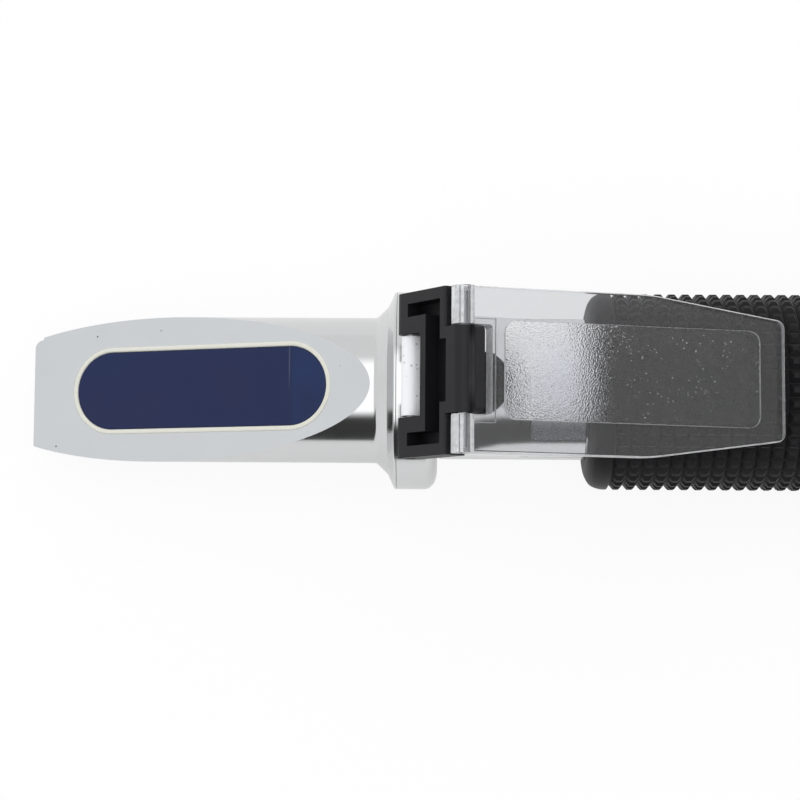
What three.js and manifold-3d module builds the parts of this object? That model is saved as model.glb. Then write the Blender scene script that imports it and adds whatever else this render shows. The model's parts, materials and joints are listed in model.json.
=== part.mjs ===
// Handheld refractometer with a hinged daylight plate, in millimetres, +Z up.
// The optical axis runs along X: the slanted nose points to -X and the eyepiece to +X.
// The origin is the middle of the flat under the hinge collar, on which the instrument lies.
import * as THREE from 'three';
import { mergeVertices } from 'three/addons/utils/BufferGeometryUtils.js';
import Module from 'manifold-3d';

const wasm = await Module();
wasm.setup();

// Shared fits and counts
const seatGap = 0.3;            // gap between pieces that touch
const pinGap = 0.2;             // radial running clearance of a pin
const skinGap = 0.1;            // gap under a skin that is stuck or stretched on
const overrun = 2;              // how far a cutter runs past what it cuts
const ringFacets = 48;          // facets round the large turned pieces
const smallFacets = 32;
const pinFacets = 16;
const sectionFacets = 8;        // facets round the section of a small ring
const cornerSteps = 4;          // steps in a rounded corner

// Prism housing: nose, flare, steep cone and hinge collar
const noseRadius = 10.54;
const noseLength = 51.38;
const faceAngle = THREE.MathUtils.degToRad(19.06);
const faceInset = 0.77;         // from the flare's foot to the tip of the face
const flareLength = 1.67;
const crownRadius = 12.2;       // where the flare meets the steep cone up to the collar
const crownLead = 0.53;
const collarRadius = 14.35;
const collarWidth = 6.55;
const collarRound = 1.5;
const collarLead = 0.4;
const boreRadius = 7.6;
const lightBoreRadius = 6.2;
const socketRadius = 9.1;
const socketDepth = 8.2;
const boreDepth = 10.2;
const lightBoreDepth = 17.4;

// Hinge lug on the collar
const hingeX = 3;
const hingeHeight = 19.5;
const lugRadius = 1.4;
const lugWidth = 10.8;
const pinRadius = 0.7;

// Measuring prism and its seal
const windowStart = 6.7;
const windowLength = 39.5;
const windowWidth = 11.3;
const sealWidth = 0.75;
const sealDepth = 0.8;
const landDepth = 1.6;
const prismWidth = 10.4;
const prismInset = 1.8;
const prismFloor = 6.9;
const sealCrown = 0.12;

// Hinge arm
const armReachX = 6.9;
const armReachZ = 9.7;
const armWidth = 22.4;
const armBossRadius = 1.8;
const armSkin = 1.2;
const armWall = 1.2;
const armKnuckleWidth = 11.5;
const armKnuckleRadius = 1.6;
const armTabReach = 2.6;
const armTabThickness = 1.5;
const armHeel = 4.4;
const armPocketStart = 5.6;
const armCentreHalf = 4.2;
const armSideStart = 1.5;
const armSideInner = 7.85;
const armSideOuter = 9.65;
const armPassEnd = 8.8;

// Daylight plate
const plateLength = 46.3;
const plateSideStep = 0.15;      // how far each side of the plate lies within the arm's
const plateWidth = armWidth - 2 * plateSideStep;
const plateContact = 1.7;
const platePad = 0.6;
const plateThickness = 2.4;
const plateBarrelRadius = 1.6;
const plateShoulder = 26.4;
const plateNeck = 28;
const plateNeckStep = 0.3;       // how much narrower the plate is at its neck than at its barrels
const plateNeckWidth = plateWidth - plateNeckStep;
const plateEndStep = 5.5;
const plateEndWidth = plateWidth - plateEndStep;
const plateEndRound = 1.3;
const plateNotch = 3.7;
const plateHeel = 4.6;           // how far the thick heel reaches from the pin
const padStart = 5.3;
const padEnd = 42.2;
const padStartWidth = 13.1;
const padEndWidth = 13.3;
const padRound = 1.6;

// Main tube and the raised saddle on its upper half
const tubeRadius = 9.9;
const tubeBore = 7.4;
const tubeEnd = 83.6;
const spigotRadius = 8.8;
const grooveFloor = 7.95;
const grooveWidth = 1.3;
const grooveX = 1.9;
const ringSection = 0.42;
const saddleFrontRadius = 13.2;
const saddleCrownX = 11.3;
const saddleCrownRadius = 12.7;
const saddleSlopeX = 17;
const saddleSlopeRadius = 11.25;
const saddleRadius = 10.9;
const saddleBackX = 20.4;
const saddleFoot = 0.6;

// Calibration screw and its cap
const screwX = 12;
const screwHeadRadius = 2.3;
const screwHeadHeight = 1.9;
const screwHeadTop = 10.4;
const screwShankRadius = 1.3;
const screwSlotWidth = 0.6;
const screwSlotDepth = 0.7;
const screwTravel = 0.25;
const capRadius = 4.5;
const capTop = 13;
const capSeat = 11;
const capCrown = 0.5;

// Lens carriage, temperature strip and its clamp
const lensX = 0.6;
const lensRadius = 4.2;
const lensThickness = 2.2;
const lensBulge = 0.6;
const carriageRadius = 5;
const carriageLength = 4.4;
const carriageLip = 0.7;
const tongueWidth = 4.4;
const tongueThickness = 1;
const tongueTop = 5.6;
const footWidth = 4;
const footReach = 5.4;
const stripTop = 5.8;
const stripThickness = 0.4;
const stripWidth = 4.4;
const stripEnd = 26;
const stripBlockLength = 6;
const stripBlockWidth = 3.6;
const stripBlockDepth = 0.55;
const stripScrewRadius = 0.5;
const stripScrewHeadRadius = 0.95;
const stripScrewHead = 0.7;
const stripScrewPitch = 3;

// Stop, baffle tube and reticle
const stopThickness = 0.8;
const stopSlotWidth = 8;
const stopSlotHeight = 4.6;
const innerRadius = 7.1;
const baffleStart = 30;
const baffleLength = 32;
const baffleWall = 1.4;
const baffleMouth = 4.5;
const baffleLip = 1;
const reticleRingLength = 2;
const reticleRingBore = 5.4;
const reticleThickness = 1.5;

// Label and grip
const labelThickness = 0.25;
const labelStart = 19.6;
const labelEnd = 27.2;
const labelSpan = THREE.MathUtils.degToRad(86);
const gripStart = 27.7;
const gripEnd = 79;
const gripRadius = 14.2;
const gripFrontRadius = 12.4;
const gripChamfer = 1.7;
const gripFrontBand = 3.7;       // smooth rubber before the knurl
const gripBackBand = 1.9;        // smooth rubber behind the knurl
const knurlPitch = 1.95;         // length of a knurled square along the grip
const knurlDepth = 0.85;
const knurlRows = 44;            // squares round the grip

// Eyepiece: barrel, lenses, focus ring and eyecup
const focusTravel = 1.5;
const barrelStart = 72.5;
const barrelBore = 6.3;
const barrelHeadStart = 85.8;
const barrelHeadRadius = 9;
const barrelEnd = 96;
const barrelHeadBore = 7.9;
const barrelSeat = 88.5;
const fieldLensX = 76;
const fieldLensRadius = 6;
const fieldLensThickness = 2.6;
const eyeLensRadius = 7.6;
const eyeLensThickness = 4.4;
const eyeLensBulge = 1.2;
const spacerWall = 0.7;
const retainerBore = 6;
const retainerLength = 1.4;
const guideX = 81.5;
const guideRadius = 0.9;
const guideTip = 6.55;
const guideHead = 9.6;
const focusStart = 80.8;
const focusEnd = 91.5;
const focusRadius = 13.6;
const focusStep = 85.6;
const focusSpigotRadius = 11.6;
const focusSpigotEnd = 96.5;
const focusRibs = 40;
const focusRibDepth = 0.45;
const focusRibShare = 0.5;
const focusBand = 1.4;
const eyecupEnd = 105;
const eyecupRadius = 13.9;
const eyecupWaist = 12.9;
const eyecupWaistX = 97.5;
const eyecupWall = 1.4;
const eyecupLip = 1.5;
const eyecupMouth = 8.5;

// Places that follow from the sizes above
const flareStart = -flareLength - crownLead;
const noseEnd = flareStart - noseLength;
const faceTip = flareStart - faceInset;
const axisHeight = collarRadius * Math.cos(Math.PI / ringFacets);
const armLength = Math.hypot(armReachX, armReachZ);
const armPitch = Math.atan2(armReachZ, armReachX);
const plateUnderside = plateThickness - plateContact;
const plateDrop = hingeHeight + armReachZ - gripRadius - seatGap;
const plateDiagonal = Math.hypot(plateLength, plateUnderside);
const platePitch = Math.asin(plateDrop / plateDiagonal) - Math.atan2(plateUnderside, plateLength);
const spigotStart = collarWidth - socketDepth + seatGap;
const shoulderX = collarWidth + seatGap;
const reticleStart = baffleStart + baffleLength + seatGap;

// A closed geometry becomes a solid, with its faces turned outwards
function toSolid(geometry) {
  const bare = geometry.index ? geometry.toNonIndexed() : geometry.clone();
  bare.deleteAttribute('normal');
  bare.deleteAttribute('uv');
  const merged = mergeVertices(bare, 1e-5);
  const points = merged.attributes.position;
  const corners = [];
  let volume = 0;
  const a = new THREE.Vector3();
  const b = new THREE.Vector3();
  const c = new THREE.Vector3();
  for (let i = 0; i < merged.index.count; i += 3) {
    const triangle = [0, 1, 2].map((k) => merged.index.getX(i + k));
    if (new Set(triangle).size < 3) continue;
    a.fromBufferAttribute(points, triangle[0]);
    b.fromBufferAttribute(points, triangle[1]);
    c.fromBufferAttribute(points, triangle[2]);
    volume += a.dot(b.cross(c));
    corners.push(triangle);
  }
  if (volume < 0) corners.forEach((triangle) => triangle.reverse());
  const mesh = new wasm.Mesh({
    numProp: 3,
    vertProperties: new Float32Array(points.array),
    triVerts: new Uint32Array(corners.flat()),
  });
  return new wasm.Manifold(mesh);
}

// A solid goes back to a geometry that a mesh can hold
function toGeometry(solid) {
  const mesh = solid.getMesh();
  const geometry = new THREE.BufferGeometry();
  geometry.setAttribute('position', new THREE.BufferAttribute(new Float32Array(mesh.vertProperties), 3));
  geometry.setIndex(new THREE.BufferAttribute(new Uint32Array(mesh.triVerts), 1));
  geometry.computeVertexNormals();
  return geometry;
}

// A shape of revolution about Y; the profile is a list of [y, radius]
function latheShape(profile, facets) {
  const points = profile.map(([x, radius]) => new THREE.Vector2(radius, x));
  const halfFacet = Math.PI / facets;
  return new THREE.LatheGeometry(points, facets, halfFacet, 2 * Math.PI);
}

// A solid of revolution about the optical axis; the profile is a list of [x, radius]
function turned(profile, facets = ringFacets) {
  return toSolid(latheShape(profile, facets).rotateZ(-Math.PI / 2));
}

// The squares of a lathe shape between two points of its profile each rise to a tip
function raiseSquares(lathe, profileCount, first, last, tipRadius) {
  const places = Array.from(lathe.attributes.position.array);
  const corners = [];
  const tip = new THREE.Vector3();
  const corner = new THREE.Vector3();
  for (let i = 0; i < lathe.index.count; i += 6) {
    const [a, b, d, c] = [0, 1, 2, 3].map((k) => lathe.index.getX(i + k));
    const step = a % profileCount;
    if (step < first || step >= last) {
      corners.push(a, b, d, c, d, b);
      continue;
    }
    tip.set(0, 0, 0);
    for (const k of [a, b, c, d]) tip.add(corner.fromBufferAttribute(lathe.attributes.position, k));
    tip.divideScalar(4);
    const stretch = tipRadius / Math.hypot(tip.x, tip.z);
    const top = places.length / 3;
    places.push(tip.x * stretch, tip.y, tip.z * stretch);
    corners.push(a, b, top, b, c, top, c, d, top, d, a, top);
  }
  const geometry = new THREE.BufferGeometry();
  geometry.setAttribute('position', new THREE.Float32BufferAttribute(places, 3));
  geometry.setIndex(corners);
  return geometry;
}

function rod(start, end, radius, facets = ringFacets) {
  return turned([[start, 0], [start, radius], [end, radius], [end, 0]], facets);
}

function sleeve(start, end, outer, inner, facets = ringFacets) {
  return turned([[start, inner], [start, outer], [end, outer], [end, inner], [start, inner]], facets);
}

function block(lowX, highX, lowY, highY, lowZ, highZ) {
  const box = new THREE.BoxGeometry(highX - lowX, highY - lowY, highZ - lowZ);
  return toSolid(box.translate((lowX + highX) / 2, (lowY + highY) / 2, (lowZ + highZ) / 2));
}

// A cross pin along Y, centred on the XZ plane
function crossPin(x, z, radius, width, facets = pinFacets) {
  return toSolid(new THREE.CylinderGeometry(radius, radius, width, facets).translate(x, 0, z));
}

function upright(x, y, lowZ, highZ, radius, facets = smallFacets) {
  const post = new THREE.CylinderGeometry(radius, radius, highZ - lowZ, facets).rotateX(Math.PI / 2);
  return toSolid(post.translate(x, y, (lowZ + highZ) / 2));
}

// A side outline in X and Z, carried across a width centred on Y
function sideSlab(outline, width) {
  const slab = new THREE.ExtrudeGeometry(outline, {
    depth: width, bevelEnabled: false, curveSegments: cornerSteps * 2,
  });
  return toSolid(slab.rotateX(Math.PI / 2).translate(0, width / 2, 0));
}

// A plan outline in X and Y, carried from one height to another
function planSlab(outline, lowZ, highZ) {
  const slab = new THREE.ExtrudeGeometry(outline, {
    depth: highZ - lowZ, bevelEnabled: false, curveSegments: cornerSteps * 2,
  });
  return toSolid(slab.translate(0, 0, lowZ));
}

function polygon(points) {
  return new THREE.Shape(points.map(([x, y]) => new THREE.Vector2(x, y)));
}

// A slot with round ends along X
function obround(start, length, width) {
  const radius = width / 2;
  const shape = new THREE.Shape();
  shape.moveTo(start + radius, -radius);
  shape.lineTo(start + length - radius, -radius);
  shape.absarc(start + length - radius, 0, radius, -Math.PI / 2, Math.PI / 2, false);
  shape.lineTo(start + radius, radius);
  shape.absarc(start + radius, 0, radius, Math.PI / 2, 3 * Math.PI / 2, false);
  return shape;
}

// A shape built on the XY plane moves onto the slanted face, its zero at the face's tip
function onFace(solid) {
  const geometry = toGeometry(solid).rotateY(-faceAngle).translate(faceTip, 0, noseRadius);
  return toSolid(geometry);
}

function facePart(start, length, width, depth, rise = 0) {
  return onFace(planSlab(obround(-start - length, length, width), -depth, rise));
}

// The block under the window, cut level under the axis; grow is the clearance round it
function prismBlock(grow) {
  const start = windowStart + prismInset - grow;
  const end = windowStart + windowLength - prismInset + grow;
  const depth = noseRadius + prismFloor + overrun;
  const half = prismWidth / 2 + grow;
  const whole = onFace(block(-end, -start, -half, half, -depth - overrun, -landDepth + grow));
  const floor = block(noseEnd, collarWidth, -noseRadius, noseRadius, -prismFloor - grow, noseRadius);
  return whole.intersect(floor);
}

function prismHousing() {
  const wall = collarRadius - collarRound;
  const outer = turned([
    [noseEnd, 0], [noseEnd, noseRadius], [flareStart, noseRadius], [-crownLead, crownRadius],
    [collarLead, collarRadius], [collarWidth - collarRound, collarRadius],
    [collarWidth - collarLead, wall + collarRound / 2], [collarWidth, wall], [collarWidth, 0],
  ]);
  const aboveFace = onFace(block(-noseLength * 2, 0, -noseLength, noseLength, 0, noseLength));
  const lugBase = block(hingeX - lugRadius, hingeX + lugRadius, -lugWidth / 2, lugWidth / 2,
    collarRadius - collarRound, hingeHeight);
  const lug = lugBase.add(crossPin(hingeX, hingeHeight, lugRadius, lugWidth, smallFacets));
  const socket = rod(collarWidth - socketDepth, collarWidth + overrun, socketRadius);
  const bore = rod(collarWidth - boreDepth, collarWidth, boreRadius);
  const lightBore = rod(collarWidth - lightBoreDepth, collarWidth, lightBoreRadius);
  const window = facePart(windowStart - seatGap, windowLength + 2 * seatGap,
    windowWidth + 2 * seatGap, landDepth + overrun / 2, overrun);
  const sealGroove = facePart(windowStart - sealWidth - seatGap, windowLength + 2 * (sealWidth + seatGap),
    windowWidth + 2 * (sealWidth + seatGap), sealDepth, overrun);
  const pinHole = crossPin(hingeX, hingeHeight, pinRadius + pinGap, lugWidth + overrun);
  return outer.subtract(aboveFace).add(lug).subtract(socket).subtract(bore).subtract(lightBore)
    .subtract(window).subtract(sealGroove).subtract(prismBlock(seatGap)).subtract(pinHole);
}

function measuringPrism() {
  const land = facePart(windowStart, windowLength, windowWidth, landDepth + seatGap / 2);
  return land.add(prismBlock(0));
}

function prismSeal() {
  const outer = facePart(windowStart - sealWidth, windowLength + 2 * sealWidth,
    windowWidth + 2 * sealWidth, sealDepth - skinGap, sealCrown);
  const inner = facePart(windowStart - skinGap, windowLength + 2 * skinGap,
    windowWidth + 2 * skinGap, sealDepth + overrun, overrun);
  return outer.subtract(inner);
}

function hingePin() {
  return crossPin(hingeX, hingeHeight, pinRadius, armWidth - armWall);
}

// The arm lies along local X from the lug's pin to the plate's pin; its inner side is +Z
function hingeArm() {
  const skinEnd = armLength - plateBarrelRadius - seatGap;
  const side = new THREE.Shape();
  side.moveTo(0, armBossRadius);
  side.absarc(0, 0, armBossRadius, Math.PI / 2, 3 * Math.PI / 2, false);
  side.lineTo(skinEnd, -armBossRadius);
  side.lineTo(skinEnd, armKnuckleRadius);
  side.lineTo(0, armBossRadius);
  const body = sideSlab(side, armWidth);
  const knuckle = crossPin(armLength, 0, armKnuckleRadius, armKnuckleWidth, smallFacets);
  const bridge = block(skinEnd - overrun, armLength, -armKnuckleWidth / 2, armKnuckleWidth / 2,
    -armBossRadius + seatGap / 2, armKnuckleRadius);
  const tab = block(armLength, armLength + armTabReach, -armKnuckleWidth / 2, armKnuckleWidth / 2,
    -armKnuckleRadius, armTabThickness - armKnuckleRadius);
  const slot = block(-armBossRadius - overrun, armHeel, -lugWidth / 2 - seatGap, lugWidth / 2 + seatGap,
    -armBossRadius - overrun, armBossRadius + overrun);
  const pocketFloor = armSkin - armBossRadius;
  const above = armBossRadius + overrun;
  const centreEnd = armLength - armKnuckleRadius - seatGap / 2;
  const centre = block(armPocketStart, centreEnd, -armCentreHalf, armCentreHalf, pocketFloor, above);
  const pass = block(armPocketStart, armPassEnd, -armSideOuter, armSideOuter, pocketFloor, above);
  let arm = body.add(bridge).add(knuckle).add(tab).subtract(slot).subtract(centre).subtract(pass);
  for (const sign of [-1, 1]) {
    const inner = sign * armSideInner;
    const outer = sign * armSideOuter;
    arm = arm.subtract(block(armSideStart, armPassEnd, Math.min(inner, outer), Math.max(inner, outer),
      pocketFloor, above));
  }
  return arm.subtract(crossPin(0, 0, pinRadius + pinGap, armWidth + overrun))
    .subtract(crossPin(armLength, 0, pinRadius + pinGap, armWidth + overrun));
}

function coverPin() {
  return crossPin(armLength, 0, pinRadius, plateWidth - plateEndRound);
}

// The plate lies along local X from its barrels; the pad that meets the prism is on +Z
function plateOutline() {
  const half = plateWidth / 2;
  const neck = plateNeckWidth / 2;
  const end = plateEndWidth / 2;
  const shape = new THREE.Shape();
  shape.moveTo(0, -half);
  shape.lineTo(plateShoulder, -half);
  shape.quadraticCurveTo((plateShoulder + plateNeck) / 2, -half, plateNeck, -neck);
  shape.lineTo(plateLength - plateEndRound, -end);
  shape.quadraticCurveTo(plateLength, -end, plateLength, plateEndRound - end);
  shape.lineTo(plateLength, end - plateEndRound);
  shape.quadraticCurveTo(plateLength, end, plateLength - plateEndRound, end);
  shape.lineTo(plateNeck, neck);
  shape.quadraticCurveTo((plateShoulder + plateNeck) / 2, half, plateShoulder, half);
  shape.lineTo(0, half);
  return shape;
}

function padOutline() {
  const start = padStartWidth / 2;
  const end = padEndWidth / 2;
  const shape = new THREE.Shape();
  shape.moveTo(padStart + padRound, -start);
  shape.lineTo(padEnd - padRound, -end);
  shape.quadraticCurveTo(padEnd, -end, padEnd, padRound - end);
  shape.lineTo(padEnd, end - padRound);
  shape.quadraticCurveTo(padEnd, end, padEnd - padRound, end);
  shape.lineTo(padStart + padRound, start);
  shape.quadraticCurveTo(padStart, start, padStart, start - padRound);
  shape.lineTo(padStart, padRound - start);
  shape.quadraticCurveTo(padStart, -start, padStart + padRound, -start);
  return shape;
}

function daylightPlate() {
  const base = planSlab(plateOutline(), -plateUnderside, plateContact - platePad);
  const pad = planSlab(padOutline(), 0, plateContact);
  const barrel = crossPin(0, 0, plateBarrelRadius, plateWidth, smallFacets);
  const heel = block(0, plateHeel, -plateWidth / 2, plateWidth / 2, -plateBarrelRadius, 0);
  const half = armKnuckleWidth / 2 + pinGap;
  const notch = block(-plateBarrelRadius - overrun, plateNotch, -half, half,
    -plateBarrelRadius - overrun, plateBarrelRadius + overrun);
  const hole = crossPin(0, 0, pinRadius + pinGap, plateWidth + overrun);
  return base.add(barrel).add(heel).add(pad).subtract(notch).subtract(hole);
}

function apertureStop() {
  const start = collarWidth - boreDepth + seatGap;
  const disc = rod(start, start + stopThickness, boreRadius - seatGap);
  return disc.subtract(block(start - overrun, start + overrun, -stopSlotWidth / 2, stopSlotWidth / 2,
    -stopSlotHeight / 2, stopSlotHeight / 2));
}

// The saddle is a ring of larger radius, kept only on the upper half and as wide as the tube
function saddle() {
  const ring = turned([
    [shoulderX, spigotRadius], [shoulderX, saddleFrontRadius], [saddleCrownX, saddleCrownRadius],
    [saddleSlopeX, saddleSlopeRadius], [saddleBackX, saddleRadius],
    [gripStart - seatGap, saddleRadius], [gripStart - seatGap, spigotRadius], [shoulderX, spigotRadius],
  ]);
  return ring.intersect(block(0, gripStart, -tubeRadius, tubeRadius, saddleFoot, collarRadius));
}

function mainTube() {
  const shell = turned([
    [spigotStart, tubeBore], [spigotStart, spigotRadius], [grooveX, spigotRadius],
    [grooveX, grooveFloor], [grooveX + grooveWidth, grooveFloor], [grooveX + grooveWidth, spigotRadius],
    [shoulderX, spigotRadius], [shoulderX, tubeRadius], [tubeEnd, tubeRadius], [tubeEnd, tubeBore],
    [spigotStart, tubeBore],
  ]);
  const screwHole = upright(screwX, 0, 0, collarRadius, screwShankRadius + pinGap);
  const headWell = upright(screwX, 0, screwHeadTop - screwHeadHeight - screwTravel - seatGap, collarRadius,
    screwHeadRadius + pinGap);
  const capWell = upright(screwX, 0, capSeat, collarRadius, capRadius + skinGap);
  const guideHole = upright(guideX, 0, -collarRadius, 0, guideRadius + pinGap);
  return shell.add(saddle()).subtract(screwHole).subtract(headWell).subtract(capWell).subtract(guideHole);
}

function housingRing() {
  const middle = grooveX + grooveWidth / 2;
  const centre = (grooveFloor + socketRadius) / 2;
  const profile = [];
  for (let i = 0; i <= sectionFacets; i += 1) {
    const turn = 2 * Math.PI * (i % sectionFacets) / sectionFacets;
    profile.push([middle + ringSection * Math.cos(turn), centre + ringSection * Math.sin(turn)]);
  }
  return turned(profile, smallFacets);
}

function calibrationScrew() {
  const head = upright(screwX, 0, screwHeadTop - screwHeadHeight, screwHeadTop, screwHeadRadius);
  const shank = upright(screwX, 0, tongueTop + seatGap, screwHeadTop - screwSlotDepth, screwShankRadius);
  const slot = block(screwX - screwHeadRadius - overrun, screwX + screwHeadRadius + overrun,
    -screwSlotWidth / 2, screwSlotWidth / 2, screwHeadTop - screwSlotDepth, screwHeadTop + overrun);
  return head.add(shank).subtract(slot);
}

function screwCap() {
  const seat = capSeat + seatGap;
  const dome = new THREE.LatheGeometry([
    new THREE.Vector2(0, seat), new THREE.Vector2(capRadius, seat),
    new THREE.Vector2(capRadius, capTop - capCrown), new THREE.Vector2(capRadius - capCrown, capTop),
    new THREE.Vector2(0, capTop),
  ], smallFacets);
  return toSolid(dome.rotateX(Math.PI / 2).translate(screwX, 0, 0));
}

// A lens between two spherical caps, each bulge high, with a flat edge
function lens(start, thickness, radius, frontBulge, backBulge) {
  const end = start + thickness;
  const profile = [[start, 0]];
  for (let i = 1; i <= cornerSteps; i += 1) {
    const share = i / cornerSteps;
    profile.push([start + frontBulge * share * share, radius * share]);
  }
  for (let i = cornerSteps; i >= 1; i -= 1) {
    const share = i / cornerSteps;
    profile.push([end - backBulge * share * share, radius * share]);
  }
  profile.push([end, 0]);
  return turned(profile, smallFacets);
}

function objectiveLens() {
  return lens(lensX - lensThickness / 2, lensThickness, lensRadius, lensBulge, lensBulge);
}

function lensCarriage() {
  const start = lensX - carriageLength / 2;
  const end = lensX + carriageLength / 2;
  const ring = sleeve(start, end, carriageRadius, lensRadius - carriageLip, smallFacets);
  const seat = rod(lensX - lensThickness / 2 - seatGap, lensX + lensThickness / 2 + seatGap,
    lensRadius + skinGap, smallFacets);
  const tongue = block(start, screwX + screwHeadRadius, -tongueWidth / 2, tongueWidth / 2,
    tongueTop - tongueThickness, tongueTop);
  const foot = block(start, end, -footWidth / 2, footWidth / 2, -footReach, -lensRadius - skinGap * 2);
  return ring.add(tongue).add(foot).subtract(seat);
}

function stripScrewPlaces() {
  const middle = stripEnd - stripBlockLength / 2;
  return [middle - stripScrewPitch / 2, middle + stripScrewPitch / 2];
}

function stripHoles() {
  return stripScrewPlaces().map((x) => upright(x, 0, -noseRadius, 0, stripScrewRadius + pinGap, pinFacets));
}

function bimetalStrip() {
  const strip = block(lensX - carriageLength / 2, stripEnd, -stripWidth / 2, stripWidth / 2,
    -stripTop - stripThickness, -stripTop);
  return stripHoles().reduce((solid, hole) => solid.subtract(hole), strip);
}

function stripBlock() {
  const top = -stripTop - stripThickness - seatGap;
  const pad = block(stripEnd - stripBlockLength, stripEnd, -stripBlockWidth / 2, stripBlockWidth / 2,
    top - stripBlockDepth, top);
  return stripHoles().reduce((solid, hole) => solid.subtract(hole), pad);
}

function stripScrew(x) {
  const top = seatGap - stripTop;
  const tip = -stripTop - stripThickness - seatGap - stripBlockDepth;
  const head = upright(x, 0, top, top + stripScrewHead, stripScrewHeadRadius, pinFacets);
  return head.add(upright(x, 0, tip, top + stripScrewHead / 2, stripScrewRadius, pinFacets));
}

function baffleTube() {
  const end = baffleStart + baffleLength;
  const inner = innerRadius - baffleWall;
  return turned([
    [baffleStart, baffleMouth], [baffleStart, innerRadius], [end, innerRadius], [end, inner],
    [baffleStart + baffleLip, inner], [baffleStart + baffleLip, baffleMouth], [baffleStart, baffleMouth],
  ]);
}

function reticleRing(start) {
  return sleeve(start, start + reticleRingLength, innerRadius, reticleRingBore);
}

// The label is a thin skin on the saddle, over the top of the tube
function label() {
  const inner = saddleRadius + skinGap;
  const skin = sleeve(labelStart, labelEnd, inner + labelThickness, inner);
  const reach = 2 * collarRadius;
  const wedge = polygon([[0, 0], [reach * Math.sin(labelSpan / 2), reach * Math.cos(labelSpan / 2)],
    [0, reach], [-reach * Math.sin(labelSpan / 2), reach * Math.cos(labelSpan / 2)]]);
  const fan = new THREE.ExtrudeGeometry(wedge, { depth: gripEnd, bevelEnabled: false });
  return skin.intersect(toSolid(fan.rotateX(Math.PI / 2).rotateZ(Math.PI / 2)));
}

// The grip is a sleeve with smooth bands at its ends and rows of small pyramids between them
function rubberGrip() {
  const inner = tubeRadius + skinGap;
  const root = gripRadius - knurlDepth;
  const knurlStart = gripStart + gripFrontBand;
  const knurlEnd = gripEnd - gripBackBand;
  const front = [[gripStart, inner], [gripStart, gripFrontRadius], [gripStart + gripChamfer, gripRadius],
    [knurlStart, gripRadius]];
  const rings = Math.round((knurlEnd - knurlStart) / knurlPitch);
  const valleys = [];
  for (let i = 0; i <= rings; i += 1) {
    valleys.push([knurlStart + (knurlEnd - knurlStart) * i / rings, root]);
  }
  const back = [[knurlEnd, gripRadius], [gripEnd, gripRadius], [gripEnd, inner], [gripStart, inner]];
  const profile = [...front, ...valleys, ...back];
  const sleeveShape = latheShape(profile, knurlRows);
  const knurl = raiseSquares(sleeveShape, profile.length, front.length, front.length + rings, gripRadius);
  return toSolid(knurl.rotateZ(-Math.PI / 2));
}

function eyepieceBarrel() {
  const shell = turned([
    [barrelStart, barrelBore], [barrelStart, innerRadius], [barrelHeadStart, innerRadius],
    [barrelHeadStart, barrelHeadRadius], [barrelEnd, barrelHeadRadius], [barrelEnd, barrelHeadBore],
    [barrelSeat, barrelHeadBore], [barrelSeat, barrelBore], [barrelStart, barrelBore],
  ]);
  const reach = guideRadius + focusTravel + seatGap;
  const half = guideRadius + pinGap;
  return shell.subtract(block(guideX - reach, guideX + reach, -half, half, -noseRadius, 0));
}

function fieldLens() {
  return lens(fieldLensX, fieldLensThickness, fieldLensRadius, 0, lensBulge);
}

function lensSpacer() {
  const outer = barrelBore - skinGap * 2;
  return sleeve(fieldLensX + fieldLensThickness + skinGap, barrelSeat, outer, outer - spacerWall);
}

function eyeLens() {
  return lens(barrelSeat + seatGap, eyeLensThickness, eyeLensRadius, 0, eyeLensBulge);
}

function eyeLensRetainer() {
  const start = barrelSeat + seatGap + eyeLensThickness + skinGap;
  return sleeve(start, start + retainerLength, barrelHeadBore - seatGap, retainerBore);
}

function guideScrew() {
  return upright(guideX, 0, -guideHead, -guideTip, guideRadius, pinFacets);
}

function focusRing() {
  const shell = turned([
    [focusStart, tubeRadius + seatGap], [focusStart, focusRadius], [focusEnd, focusRadius],
    [focusEnd, focusSpigotRadius], [focusSpigotEnd, focusSpigotRadius],
    [focusSpigotEnd, barrelHeadRadius + seatGap], [focusStep, barrelHeadRadius + seatGap],
    [focusStep, tubeRadius + seatGap], [focusStart, tubeRadius + seatGap],
  ]);
  const floor = focusRadius - focusRibDepth;
  const half = Math.PI * focusRadius / focusRibs * focusRibShare;
  const cutters = [];
  for (let i = 0; i < focusRibs; i += 1) {
    const bar = new THREE.BoxGeometry(focusEnd - focusStart - 2 * focusBand, 2 * half, 2 * focusRibDepth);
    bar.translate((focusStart + focusEnd) / 2, 0, floor + focusRibDepth);
    cutters.push(toSolid(bar.rotateX((i + focusRibShare) * 2 * Math.PI / focusRibs)));
  }
  return cutters.reduce((solid, cutter) => solid.subtract(cutter), shell);
}

function eyecup() {
  const inner = focusSpigotRadius + skinGap;
  const lipStart = focusSpigotEnd + skinGap;
  return turned([
    [focusEnd + seatGap, inner], [focusEnd + seatGap, eyecupRadius - eyecupWall / 2],
    [eyecupWaistX, eyecupWaist], [eyecupEnd - eyecupWall, eyecupRadius],
    [eyecupEnd, eyecupRadius - eyecupWall / 2], [eyecupEnd, eyecupRadius - eyecupWall],
    [lipStart + eyecupLip, eyecupWaist - eyecupWall], [lipStart + eyecupLip, eyecupMouth],
    [lipStart, eyecupMouth], [lipStart, inner], [focusEnd + seatGap, inner],
  ]);
}

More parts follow.
